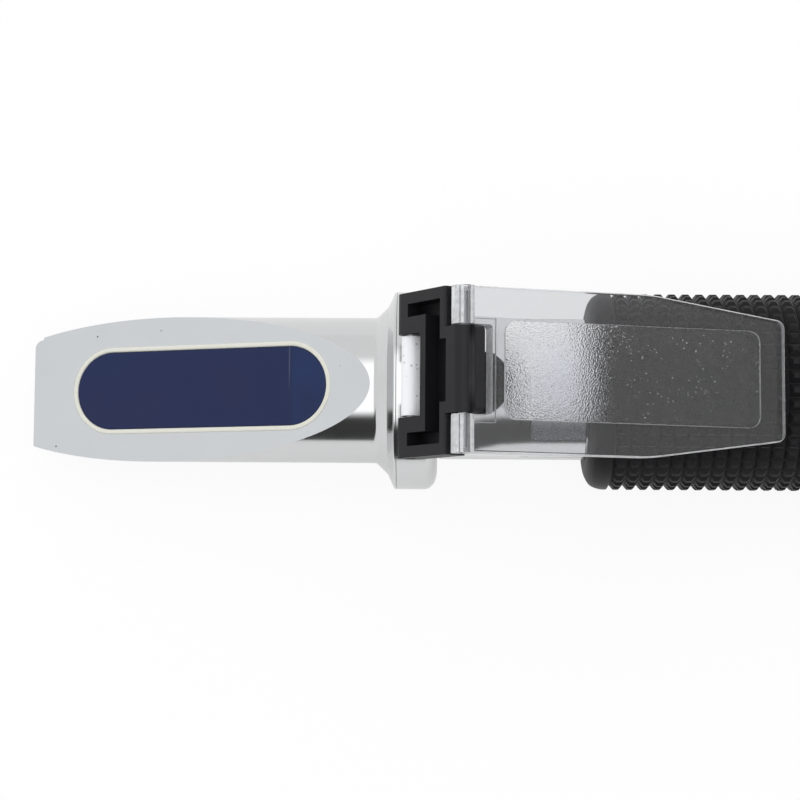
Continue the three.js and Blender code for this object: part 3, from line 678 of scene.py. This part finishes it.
def moulding(paint, shade, gloss=0.24):
    """Moulded black plastic with a fine texture and a faint painted highlight along the crest of its knuckle."""
    grain = paint.noise(0.00015, 3, 0.6)
    cloud = paint.noise(0.003, 3)
    x, y = paint.along("X"), paint.along("Y")
    # Painted highlight: a lighter line along the knuckle's crest, where light catches the round barrel.
    off = x - (COVER_HINGE.x + 0.0011)
    highlight_line = (1 - paint.step(off * off, 0.0, 0.0005 ** 2)) * (1 - paint.step(y * y, 0.002 ** 2, 0.005 ** 2))
    painted_highlight = highlight_line * (0.25 + 0.75 * paint.noise(0.0022, 2))
    tint = paint.blend(cloud, toned(shade, 0.8), toned(shade, 1.25))
    # Lighter colour of the painted highlight.
    tint = paint.blend(painted_highlight * 0.6, tint, (0.1, 0.1, 0.105))
    return paint.surface(Base_Color=tint, Roughness=0.42 + 0.12 * grain, Specular_IOR_Level=gloss,
                         Normal=paint.bump(grain, 0.000008))


def rubber(paint, shade):
    """Matte rubber with dust in its texture."""
    grain = paint.noise(0.0002, 4, 0.6)
    cloud = paint.noise(0.004, 3)
    tint = paint.blend(cloud, toned(shade, 0.75), toned(shade, 1.4))
    return paint.surface(Base_Color=tint, Roughness=0.42 + 0.15 * grain, Specular_IOR_Level=0.16,
                         Sheen_Weight=0.12, Sheen_Roughness=0.35,
                         Normal=paint.bump(grain, 0.00001))


def clear_sheet(paint, shade):
    """Clear moulded plastic."""
    cloud = paint.noise(0.002, 2)
    tint = paint.blend(cloud, toned(shade, 0.98), shade)
    return paint.surface(Base_Color=tint, Roughness=0.008 + 0.02 * cloud, IOR=1.49, Transmission_Weight=1.0,
                         Normal=paint.bump(cloud, 0.000002))


def stippled_sheet(paint, shade):
    """Clear plastic with a fine stipple, dark flecks between its grains and pale glints on them."""
    grain = paint.noise(0.0002, 1, 0.5)
    cells = paint.specks(0.00026)
    tint = paint.blend(grain, toned(shade, 0.97), shade)
    fleck = (1 - paint.step(paint.specks(0.00042), 0.16, 0.3)) * paint.step(paint.noise(0.0032, 2), 0.4, 0.6)
    tint = paint.blend(fleck * 0.6, tint, (0.1, 0.1, 0.11))
    sheet = paint.surface(Base_Color=tint, Roughness=0.03 + 0.03 * grain, IOR=1.49, Transmission_Weight=1.0,
                          Normal=paint.bump(grain - 0.5 * cells, 0.0001))
    glint = (1 - paint.step(paint.specks(0.0006), 0.12, 0.2)) * paint.step(paint.noise(0.004, 2), 0.4, 0.55)
    return paint.mixed(glint * 0.4, sheet, paint.diffuse((0.75, 0.75, 0.77)))


def moulded_edge(paint, shade):
    """Edges and barrels of the clear plate: a little milky, and a pale diffuse share that paints the highlight
    where light catches them.
    """
    cloud = paint.noise(0.0007, 3)
    tint = paint.blend(cloud, (0.78, 0.79, 0.81), shade)
    sheet = paint.surface(Base_Color=tint, Roughness=0.12 + 0.1 * cloud, IOR=1.49, Transmission_Weight=1.0,
                          Normal=paint.bump(cloud, 0.00002))
    # Pale diffuse share: partly milky plastic, partly painted highlight along the edges and barrels.
    return paint.mixed(0.4 + 0.4 * cloud, sheet, paint.diffuse(tint))


def lens_glass(paint, shade):
    """Coated lens glass."""
    cloud = paint.noise(0.004, 2)
    tint = paint.blend(cloud, (0.8, 0.86, 0.9), shade)
    return paint.surface(Base_Color=tint, Roughness=0.01 + 0.02 * cloud, IOR=1.5, Transmission_Weight=0.9)


def foil(paint, shade):
    """A bare foil label."""
    grain = paint.noise(0.0003, 3)
    cloud = paint.noise(0.003, 2)
    tint = paint.blend(cloud, toned(shade, 0.92), shade)
    return paint.surface(Base_Color=tint, Roughness=0.2 + 0.12 * grain, Metallic=0.85,
                         Normal=paint.bump(grain, 0.000004))


FINISHES = {
    "bright_plate": (bright_plate, "plate"),
    "pale_plate": (bright_plate, "tube"),
    "satin_face": (satin_metal, "satin"),
    "rough_lug": (rough_metal, "lug"),
    "turned_steel": (turned_metal, "steel"),
    "turned_brass": (turned_metal, "brass"),
    "anodised_black": (rubber, "black_metal"),
    "prism_blue": (prism_glass, "glass"),
    "ivory_bead": (soft_bead, "seal"),
    "black_moulding": (moulding, "moulding"),
    # Darker copy of the moulding: painted shade inside the arm's recesses.
    "moulded_recess": (moulding, "recess", 0.14),
    "grip_rubber": (rubber, "rubber"),
    "clear_sheet": (clear_sheet, "sheet"),
    "stippled_pad": (stippled_sheet, "pad"),
    "milky_edge": (moulded_edge, "edge"),
    "coated_lens": (lens_glass, "lens"),
    "foil_label": (foil, "label"),
}
MADE = {}


def finish(key):
    """The finish of a name, made the first time that it is asked for."""
    if key not in MADE:
        maker, hue, *gloss = FINISHES[key]
        paint = Finish(bpy.data.materials.new(key))
        paint.end(maker(paint, tuple(getattr(sizes("colours"), hue)), *gloss))
        MADE[key] = paint.owner
    return MADE[key]


# Pieces


class Piece(bpy.types.Operator):
    """Common ground of the operators that make pieces."""

    bl_options = {"REGISTER", "UNDO"}

    def execute(self, context):
        self.make()
        return {"FINISHED"}


class RFM_OT_housing(Piece):
    """Prism housing: nose tube with its slanted face, cones, hinge collar and lug."""

    bl_idname = "refractometer.housing"
    bl_label = "Prism housing"

    def make(self):
        housing, window, cover = sizes("housing"), sizes("window"), sizes("cover")
        flare = -housing.flare - housing.crown_lead
        back = 2 * COLLAR_BACK
        nose = NOSE_END - COLLAR_FRONT
        hinge = place().inverted() @ HINGE
        rim, seam, fine = housing.collar_radius, housing.seam, housing.seam_width
        form = turned([
            (nose, 0, 0), (nose, housing.nose_radius, 0.0002),
            (flare, housing.nose_radius, 0.0003), (-housing.crown_lead, housing.crown_radius, 0.00012),
            (housing.collar_lead, rim, 0.00015),
            (seam - fine / 2, rim, 0), (seam, rim - fine, 0), (seam + fine / 2, rim, 0),
            (back - housing.collar_round, rim, 0.0005),
            (back - 0.25 * housing.collar_round, rim - 0.4 * housing.collar_fall, 0.0005),
            (back, rim - housing.collar_fall, 0.0001), (back, 0, 0),
        ], ROUND_STEPS)
        far = 3 * rim
        form = combine(form, tilted(block((2 * nose, -far, 0), (0, far, far))))
        foot, radius = rim - housing.lug_foot, housing.lug_radius
        lug = side_slab([(hinge.x - radius, foot, 0), (hinge.x + radius, foot, 0),
                         (hinge.x + radius, hinge.z, 0), (hinge.x - radius, hinge.z, 0)], housing.lug_width)
        lug = combine(lug, cross_rod(hinge.x, hinge.z, radius, housing.lug_width), "UNION")
        form = combine(form, lug, "UNION")
        groove = tilted(window_shape(window.seal, -window.seal_depth, rim))
        opening = tilted(window_shape(window.gap, -window.land - MM, rim))
        socket = turned([(back - housing.socket, 0, 0), (back - housing.socket, housing.bore, 0),
                         (back + MM, housing.bore, 0), (back + MM, 0, 0)], 96)
        edge = math.sqrt(housing.nose_radius ** 2 - self.end_height() ** 2)
        corner = block((nose - MM, edge - housing.corner, -far), (nose + housing.corner, far, far))
        corner = combine(corner, self.corner_post(nose, edge, far))
        form = cut_all(form, [groove, opening, socket, corner,
                              cross_rod(hinge.x, hinge.z, cover.pin_radius + PIN_PLAY, rim * 2)])
        slope = (on_face().to_3x3() @ Vector((0, 0, 1))).normalized()

        def choose(face):
            spot = face.calc_center_median()
            if face.normal.dot(slope) > 0.999 and spot.x < COLLAR_FRONT:
                return 1
            return 2 if spot.z > AXIS + rim + 0.0001 else 0

        settle("housing", form, ["bright_plate", "satin_face", "rough_lug"],
               "prism_housing", sharp=18.5, choose=choose)

    def end_height(self):
        """Height of the slanted face over the axis at the nose's end."""
        housing = sizes("housing")
        run = face_tip() - (NOSE_END - COLLAR_FRONT)
        return housing.nose_radius - run * math.tan(housing.face_angle)

    def corner_post(self, nose, edge, far):
        """The round that the nose's far corner keeps."""
        corner = sizes("housing").corner
        keep = post(nose + corner, -far * 1.1, far * 1.1, corner)
        bmesh.ops.translate(keep, verts=keep.verts, vec=(0, edge - corner, 0))
        return keep


class RFM_OT_prism(Piece):
    """Measuring prism and the bead round its window."""

    bl_idname = "refractometer.prism"
    bl_label = "Prism and bead"

    def make(self):
        window = sizes("window")
        glass = window_shape(0, -window.land, 0, 96)
        top = [edge for edge in glass.edges if min(vert.co.z for vert in edge.verts) > -TOUCH]
        soften(glass, top, 0.00008, 2)
        inset, half, wide = 0.0018, 0.0052, 0.006
        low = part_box("measuring_prism")[0].z - AXIS
        heart = tilted(block((-window.start - window.length + inset, -half, -0.02),
                             (-window.start - inset, half, -window.land / 2)))
        heart = combine(heart, block((-0.06, -wide, low), (MM, wide, 0.01)), "INTERSECT")
        glass = combine(tilted(glass), heart, "UNION")
        settle("prism", glass, ["prism_blue"], "measuring_prism")
        crown, squeeze, fit = 0.00012, 0.00003, 0.00004
        bead = window_shape(window.seal + squeeze, -window.seal_depth + 0.0001, crown, 96)
        bead = combine(bead, window_shape(fit, -2 * window.seal_depth, MM, 96))
        bead.normal_update()
        rims = [edge for edge in bead.edges if min(vert.co.z for vert in edge.verts) > crown - 1e-6
                and edge.calc_face_angle(0) > 1]
        soften(bead, rims, 0.00026, 4)
        settle("bead", bead, ["ivory_bead"], "prism_seal", on_face(), sharp=60)


class RFM_OT_tube(Piece):
    """Main tube with its raised upper half, and the bare label on it."""

    bl_idname = "refractometer.tube"
    bl_label = "Main tube and label"

    def make(self):
        tube, housing = sizes("tube"), sizes("housing")
        start, end = ends("main_tube")
        gap = 0.0003
        shoulder = 2 * COLLAR_BACK + gap
        spigot = housing.bore - gap
        grip_start = ends("rubber_grip")[0]
        bore, groove, groove_start, groove_end = 0.0074, 0.00795, 0.0019, 0.0032
        form = turned([
            (start, bore, 0), (start, spigot, 0.0001), (groove_start, spigot, 0), (groove_start, groove, 0),
            (groove_end, groove, 0), (groove_end, spigot, 0), (shoulder, spigot, 0),
            (shoulder, tube.radius, 0.0001), (end, tube.radius, 0.0001), (end, bore, 0),
        ], ROUND_STEPS)
        crown_at, slope_at, level_at = 0.0113, 0.017, 0.0204
        saddle = turned([
            (shoulder, spigot, 0), (shoulder, tube.saddle_front, 0.0008),
            (crown_at, tube.saddle_crown, 0.0012), (slope_at, tube.saddle_slope, 0.0015),
            (level_at, tube.saddle, 0.0006), (grip_start - gap, tube.saddle, 0.0001),
            (grip_start - gap, spigot, 0),
        ], ROUND_STEPS)
        side, top = tube.radius - 0.00001, 0.02
        saddle = combine(saddle, block((0, -side, tube.saddle_foot), (grip_start, side, top)), "INTERSECT")
        form = combine(form, saddle, "UNION")
        screw = middle("screw_cap").x - COLLAR_FRONT
        guide = middle("focus_guide_screw").x - COLLAR_FRONT
        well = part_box("screw_cap")[1].y + 0.00012
        form = cut_all(form, [post(screw, 0, top, 0.0015), post(screw, groove, top, 0.0025),
                              post(screw, 0.011, top, well), post(guide, -top, 0, 0.0011, 32)])
        settle("tube", form, ["pale_plate"], "main_tube", sharp=28)
        first, last = ends("label")
        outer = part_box("label")[1].z - AXIS
        inner = outer - tube.label_skin - 0.00005
        skin = flat_face([((x, 0, radius), 0) for x, radius in (
            (first, inner), (first, outer), (last, outer), (last, inner))])
        bmesh.ops.rotate(skin, verts=skin.verts, cent=(0, 0, 0),
                         matrix=Matrix.Rotation(-tube.label_span / 2, 3, "X"))
        bmesh.ops.spin(skin, geom=skin.verts[:] + skin.edges[:] + skin.faces[:], cent=(0, 0, 0),
                       axis=(1, 0, 0), angle=tube.label_span, steps=48, use_merge=False)
        settle("bare_label", skin, ["foil_label"], "label")


class RFM_OT_grip(Piece):
    """Rubber grip with its rows of small square pyramids."""

    bl_idname = "refractometer.grip"
    bl_label = "Rubber grip"

    def make(self):
        grip = sizes("grip")
        start, end = ends("rubber_grip")
        inner = sizes("tube").radius + 0.0001
        first, last = start + grip.front, end - grip.back
        count = round((last - first) / grip.pitch)
        rings = [(first + (last - first) * index / count, grip.root, 0) for index in range(count + 1)]
        slope = (grip.radius - grip.root) * 0.6
        form = turned([
            (start + 0.0002, inner, 0), (start, inner + 0.0008, 0.0006), (start + 0.0002, inner + 0.0028, MM),
            (start + grip.bead * 0.8, grip.radius, 0.0012), (first - slope, grip.radius, 0.0001), *rings,
            (last + slope, grip.radius, 0.0001), (end, grip.radius, 0.0009), (end, inner, 0),
        ], grip.rows)
        form.normal_update()
        spots = [(face, face.calc_center_median()) for face in form.faces]
        squares = [face for face, spot in spots
                   if first < spot.x < last and math.hypot(spot.y, spot.z) > inner + MM]
        width = math.tau * grip.root / grip.rows
        gap = width * (1 - grip.foot_share) / 2
        bmesh.ops.inset_individual(form, faces=squares, thickness=gap, depth=0, use_even_offset=True)
        height = grip.radius - grip.root * math.cos(math.pi / grip.rows)
        flank = width * grip.foot_share * (1 - grip.tip_share) / 2
        bmesh.ops.inset_individual(form, faces=squares, thickness=flank, depth=height, use_even_offset=True)
        settle("grip", form, ["grip_rubber"], "rubber_grip", sharp=40)


class RFM_OT_arm(Piece):
    """Hinge arm of the cover with its ribbed inner side, and the two pins."""

    bl_idname = "refractometer.arm"
    bl_label = "Hinge arm and pins"

    def make(self):
        cover, housing = sizes("cover"), sizes("housing")
        reach = (COVER_HINGE - HINGE).length
        boss, knuckle = cover.arm_boss, cover.knuckle_radius
        end = reach - cover.barrel - 0.0003
        form = side_slab([(0, -boss, 0), (end, -boss, 0.0003), (end, knuckle, 0.0003), (0, boss, 0)],
                         cover.arm_width)
        form = combine(form, cross_rod(0, 0, boss, cover.arm_width, 64), "UNION")
        half = cover.knuckle_width / 2
        bridge = block((end - 0.002, -half, -boss + 0.00015), (reach, half, knuckle))
        tab = plan_slab([(reach - MM, half, 0), (reach + cover.tab_reach, half, 0.0008)],
                        -knuckle, cover.tab_depth - knuckle)
        for add in (bridge, cross_rod(reach, 0, knuckle, cover.knuckle_width, 64), tab):
            form = combine(form, add, "UNION")
        floor, over = cover.arm_skin - boss, boss + 0.002
        lug = housing.lug_width / 2 + 0.0003
        centre_end = reach - knuckle - 0.00015
        cuts = [
            block((-boss - 0.002, -lug, -over), (cover.slot_end, lug, over)),
            block((cover.recess_start, -cover.recess_half, floor), (centre_end, cover.recess_half, over)),
            block((cover.recess_start, -cover.side_outer, floor), (cover.pass_end, cover.side_outer, over)),
        ]
        for side in (-1, 1):
            low, high = sorted((side * cover.side_inner, side * cover.side_outer))
            cuts.append(block((cover.side_start, low, floor), (cover.pass_end, high, over)))
        cuts += [cross_rod(x, 0, cover.pin_radius + PIN_PLAY, ROD) for x in (0, reach)]
        form = cut_all(form, cuts)
        inverse = on_arm().inverted()

        # Faces inside the recesses take the darker finish: painted shade.
        def choose(face):
            return 1 if self.inside(inverse @ face.calc_center_median()) else 0

        settle("arm", form, ["black_moulding", "moulded_recess"], "hinge_arm",
               on_arm(), sharp=35, edge=cover.edge, choose=choose)
        for name, node, where, inset in (("lug_pin", "hinge_pin", HINGE, 0.0003),
                                         ("plate_pin", "cover_pin", COVER_HINGE, 0.0002)):
            pin = cross_rod(0, 0, cover.pin_radius, 2 * half_width(node), 40, inset)
            settle(name, pin, ["turned_steel"], node, Matrix.Translation(where), sharp=50)

    def inside(self, spot):
        """Whether a spot on the arm lies in one of its recesses."""
        cover = sizes("cover")
        slack = 0.00005
        centre_end = (COVER_HINGE - HINGE).length - cover.knuckle_radius
        off, start = abs(spot.y) - slack, cover.recess_start - slack
        centre = start < spot.x < centre_end and off < cover.recess_half
        passage = start < spot.x < cover.pass_end + slack and off < cover.side_outer
        side = (cover.side_start - slack < spot.x < cover.pass_end
                and cover.side_inner - 2 * slack < off < cover.side_outer)
        height = cover.arm_boss - 2 * slack
        return -height < spot.z < cover.knuckle_radius - 2 * slack and (centre or passage or side)


class RFM_OT_plate(Piece):
    """Clear daylight plate with its barrels and stippled pad."""

    bl_idname = "refractometer.plate"
    bl_label = "Daylight plate"

    def make(self):
        cover = sizes("cover")
        half = cover.plate_width / 2
        form = plan_slab([(0, half, 0), (cover.shoulder, half, 0.0015),
                          (cover.plate_length, cover.end_width / 2, cover.end_round)],
                         -cover.plate_foot, cover.plate_top)
        spots = [(edge, edge.verts[0].co, edge.verts[1].co) for edge in form.edges]
        rims = [edge for edge, one, other in spots
                if abs(one.z - other.z) < TOUCH and one.z > 0 and one.x + other.x > 1e-6]
        soften(form, rims, cover.plate_bevel, 3)
        form = combine(form, cross_rod(0, 0, cover.barrel, cover.plate_width, 64), "UNION")
        heel = block((0, -cover.heel_half, -cover.barrel), (cover.heel, cover.heel_half, 0))
        form = combine(form, heel, "UNION")
        turn_in = 0.0016
        pad = plan_slab([(cover.pad_start, cover.pad_width / 2, turn_in),
                         (cover.pad_end, cover.pad_end_width / 2, turn_in)], 0, cover.pad_top)
        form = combine(form, pad, "UNION")
        gap = cover.knuckle_width / 2 + 0.0002
        high = 0.004
        notch = plan_slab([(-high, gap, 0), (cover.notch, gap, 0.0005)], -high, high)
        inverse = on_plate().inverted()
        turned_back = inverse.to_3x3()
        scored = block((-0.00058, -0.02, 0.0012), (-0.00042, 0.02, 0.002))
        scored.transform(turned_back.to_4x4())
        form = cut_all(form, [notch, scored, cross_rod(0, 0, cover.pin_radius + 0.00008, ROD)])
        frost = cover.pad_top - 1e-5

        def choose(face):
            spot = inverse @ face.calc_center_median()
            if spot.z > frost and cover.pad_start < spot.x < cover.pad_end:
                return 1
            return 2 if abs((turned_back @ face.normal).z) < 0.95 else 0

        settle("plate", form, ["clear_sheet", "stippled_pad", "milky_edge"], "daylight_plate",
               on_plate(), sharp=35, edge=0.00009, choose=choose, edge_slot=2)


class RFM_OT_screw(Piece):
    """Calibration screw and its rubber cap."""

    bl_idname = "refractometer.screw"
    bl_label = "Calibration screw and cap"

    def make(self):
        low, high = (corner.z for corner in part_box("screw_cap"))
        radius, dip = half_width("screw_cap"), high - 0.00015
        where = Matrix.Translation((middle("screw_cap").x, 0, 0))
        cap = turned([(low, 0, 0), (low, radius, 0.0002), (high - 0.0003, radius, 0.0006),
                      (high, radius - 0.0012, 0.0004), (dip, 0.0012, 0.0005), (dip, 0, 0)], 96, upright=True)
        settle("cap", cap, ["grip_rubber"], "screw_cap", where)
        low, high = (corner.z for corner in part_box("calibration_screw"))
        head, shank, neck = half_width("calibration_screw"), 0.0013, high - 0.0019
        screw = turned([(low, 0, 0), (low, shank, 0.0002), (neck, shank, 0), (neck, head, 0.0001),
                        (high, head, 0.00025), (high, 0, 0)], 64, upright=True)
        screw = combine(screw, block((-0.01, -0.0003, high - 0.0007), (0.01, 0.0003, high + MM)))
        settle("zero_screw", screw, ["turned_brass"], "calibration_screw", where)


class RFM_OT_eyepiece(Piece):
    """Focus ring, eyecup, eye lens and its retainer."""

    bl_idname = "refractometer.eyepiece"
    bl_label = "Eyepiece"

    def make(self):
        start, spigot_end = ends("focus_ring")
        cup, lip = ends("eyecup")
        radius, spigot, end = half_width("focus_ring"), 0.0116, cup - 0.0003
        over_tube, over_head = sizes("tube").radius + 0.0003, half_width("eyepiece_barrel") + 0.0003
        band, step, ribs = 0.0014, start + 0.0048, 40
        ring = turned([
            (start, over_tube, 0), (start, radius, 0.0005), (start + band, radius, 0),
            (end - band, radius, 0), (end, radius, 0.0005), (end, spigot, 0), (spigot_end, spigot, 0.0001),
            (spigot_end, over_head, 0), (step, over_head, 0), (step, over_tube, 0),
        ], ribs * 4)
        ring.normal_update()
        grooves = []
        for face in ring.faces:
            centre = face.calc_center_median()
            if start + band < centre.x < end - band and math.hypot(centre.y, centre.z) > radius - 0.0005:
                turn_at = math.atan2(centre.y, centre.z) % math.tau / math.tau * ribs
                if turn_at % 1 < 0.5:
                    grooves.append(face)
        bmesh.ops.inset_region(ring, faces=grooves, thickness=0.0001, depth=-0.00045, use_even_offset=True)
        settle("focus_grip", ring, ["black_moulding"], "focus_ring")
        rim, seat, hollow = half_width("eyecup"), 0.0117, 0.0085
        floor, inside = spigot_end + 0.0016, spigot_end + 0.0001
        eyecup = turned([
            (cup, seat, 0), (cup, rim - 0.0007, 0.0004), (cup + 0.0057, rim - MM, 0.002),
            (lip - 0.0014, rim, 0.0012), (lip, rim - 0.0007, 0.0005), (lip, rim - 0.0014, 0.0003),
            (floor, rim - 0.0024, 0.0006), (floor, hollow, 0.0003), (inside, hollow, 0), (inside, seat, 0),
        ])
        settle("eye_rubber", eyecup, ["grip_rubber"], "eyecup", sharp=40)
        raised = Matrix.Translation((0, 0, AXIS))
        low, high = (corner.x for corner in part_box("eye_lens_retainer"))
        outer, inner = half_width("eye_lens_retainer"), 0.006
        retainer = turned([(low, inner, 0), (low, outer, 0), (high, outer, 0.0001), (high, 0.0066, 0.0001),
                           (low + 0.0004, inner, 0)], 128)
        settle("lens_retainer", retainer, ["anodised_black"], "eye_lens_retainer", raised)
        low, high = (corner.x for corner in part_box("eye_lens"))
        rim, bulge, rings = half_width("eye_lens"), 0.0012, 12
        dome = [(high - bulge * (index / rings) ** 2, rim * index / rings, 0)
                for index in range(rings, -1, -1)]
        lens = turned([(low, 0, 0), (low, rim, 0.0001), *dome], 96)
        settle("eye_glass", lens, ["coated_lens"], "eye_lens", raised)


CARRIED = {
    "anodised_black": ("aperture_stop", "lens_carriage", "baffle_tube", "reticle_front_ring",
                       "reticle_rear_ring", "eyepiece_barrel", "lens_spacer"),
    "coated_lens": ("objective_lens", "reticle_disc", "field_lens"),
    "grip_rubber": ("housing_o_ring",),
    "turned_brass": ("bimetal_strip", "strip_block"),
    "turned_steel": ("strip_screw_1", "strip_screw_2", "focus_guide_screw"),
}


class RFM_OT_inside(Piece):
    """Finishes of the parts inside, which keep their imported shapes."""

    bl_idname = "refractometer.inside"
    bl_label = "Inner parts"

    def make(self):
        for key, nodes in CARRIED.items():
            for node in nodes:
                mesh = frame["nodes"][node].data
                mesh.materials.clear()
                mesh.materials.append(finish(key))


class RFM_OT_stage(Piece):
    """Pale floor, even light and the camera."""

    bl_idname = "refractometer.stage"
    bl_label = "Floor, light and camera"

    def make(self):
        self.floor()
        self.sky()
        self.lamp()
        self.camera()
        bpy.context.scene.view_settings.view_transform = "Standard"

    def floor(self):
        """A pale floor that the camera and metal see nearly white, with its shadow."""
        ground = bmesh.new()
        bmesh.ops.create_grid(ground, x_segments=1, y_segments=1, size=0.8)
        mesh = bpy.data.meshes.new("Floor")
        ground.to_mesh(mesh)
        ground.free()
        floor = bpy.data.objects.new("Floor", mesh)
        bpy.context.scene.collection.objects.link(floor)
        paint = Finish(bpy.data.materials.new("pale_floor"))
        mirrored = paint.node("ShaderNodeLightPath", output="Is Glossy Ray")
        white = paint.node("ShaderNodeEmission", inputs={"Color": (1, 1, 1), "Strength": 1.0})
        part = (paint.seen() * 0.9).larger(mirrored * 0.35)
        paint.end(paint.mixed(part, paint.diffuse(tuple(sizes("colours").floor)), white))
        mesh.materials.append(paint.owner)

    def sky(self):
        """Even light with a brighter strip overhead and a dark low side, seen as plain white."""
        stage = sizes("stage")
        sky = Finish(bpy.data.worlds.new("Studio"))
        bpy.context.scene.world = sky.owner
        where = sky.node("ShaderNodeTexCoord", output="Generated")
        x, y, z = (sky.node("ShaderNodeSeparateXYZ", inputs={0: where}, output=axis) for axis in "XYZ")
        rise = z / (0 - y).larger(0.001)
        dark = sky.step(rise, -0.12, -0.02) * (1 - sky.step(rise, 0.8, 1.15)) * sky.step(0 - y, 0.02, 0.1)
        dark = dark * (1 - sky.step(x * x, 0.55, 0.8))
        lean = y / z.larger(0.001)
        strip = sky.step(lean, -0.95, -0.75) * (1 - sky.step(lean, 0.6, 1.2)) * sky.step(z, 0.3, 0.4)
        strip = strip * (1 - sky.step(x * x, 0.05, 0.14))
        strength = (stage.world + stage.glow * strip) * (1 - 0.945 * dark)
        studio, plain = (sky.node("ShaderNodeBackground", inputs={"Color": (1, 1, 1), "Strength": power})
                         for power in (strength, 1.0))
        sky.end(sky.mixed(sky.seen(), studio, plain), "ShaderNodeOutputWorld")

    def lamp(self):
        """A soft lamp that shows in no reflection."""
        lamp = bpy.data.lights.new("Softbox", "AREA")
        lamp.shape = "SQUARE"
        lamp.size = 0.5
        lamp.energy = sizes("stage").key
        softbox = bpy.data.objects.new("Softbox", lamp)
        softbox.location = (-0.1, 0.15, 0.6)
        softbox.rotation_euler = Vector(softbox.location).to_track_quat("Z", "Y").to_euler()
        softbox.visible_glossy = False
        bpy.context.scene.collection.objects.link(softbox)

    def camera(self):
        """The camera at the photograph's angle."""
        stage = sizes("stage")
        look = (Matrix.Rotation(stage.roll, 3, "Z") @ Matrix.Rotation(stage.tip, 3, "Y")
                @ Matrix.Rotation(-stage.lean, 3, "X"))
        stand = place() @ (look.transposed() @ Vector((-stage.shift_x, -stage.shift_y, stage.distance)))
        view = bpy.data.cameras.new("View")
        view.sensor_width = 36
        view.lens = stage.focal * view.sensor_width / PHOTO_SIZE
        view.clip_start = 0.01
        view.clip_end = 20
        camera = bpy.data.objects.new("View", view)
        camera.matrix_world = Matrix.Translation(stand) @ look.transposed().to_4x4()
        bpy.context.scene.collection.objects.link(camera)
        bpy.context.scene.camera = camera


STEPS = (RFM_OT_stage, RFM_OT_housing, RFM_OT_prism, RFM_OT_tube, RFM_OT_grip, RFM_OT_arm, RFM_OT_plate,
         RFM_OT_screw, RFM_OT_eyepiece, RFM_OT_inside)


class RFM_PT_panel(bpy.types.Panel):
    """Lists the operators in the order in which they run."""

    bl_idname = "RFM_PT_panel"
    bl_label = "Refractometer"
    bl_space_type = "VIEW_3D"
    bl_region_type = "UI"
    bl_category = "Refractometer"

    def draw(self, context):
        for step in STEPS:
            self.layout.operator(step.bl_idname)


def register():
    """Makes the sizes, the operators and the panel known to Blender."""
    for name, group in GROUPS.items():
        bpy.utils.register_class(group)
        setattr(bpy.types.Scene, "refractometer_" + name, PointerProperty(type=group))
    for step in STEPS:
        bpy.utils.register_class(step)
    bpy.utils.register_class(RFM_PT_panel)


def unregister():
    """Takes them all out again."""
    bpy.utils.unregister_class(RFM_PT_panel)
    for step in reversed(STEPS):
        bpy.utils.unregister_class(step)
    for name, group in GROUPS.items():
        delattr(bpy.types.Scene, "refractometer_" + name)
        bpy.utils.unregister_class(group)


def main():
    """Makes every piece in order."""
    register()
    for step in STEPS:
        space, name = step.bl_idname.split(".")
        getattr(getattr(bpy.ops, space), name)()


if __name__ == "__main__":
    main()
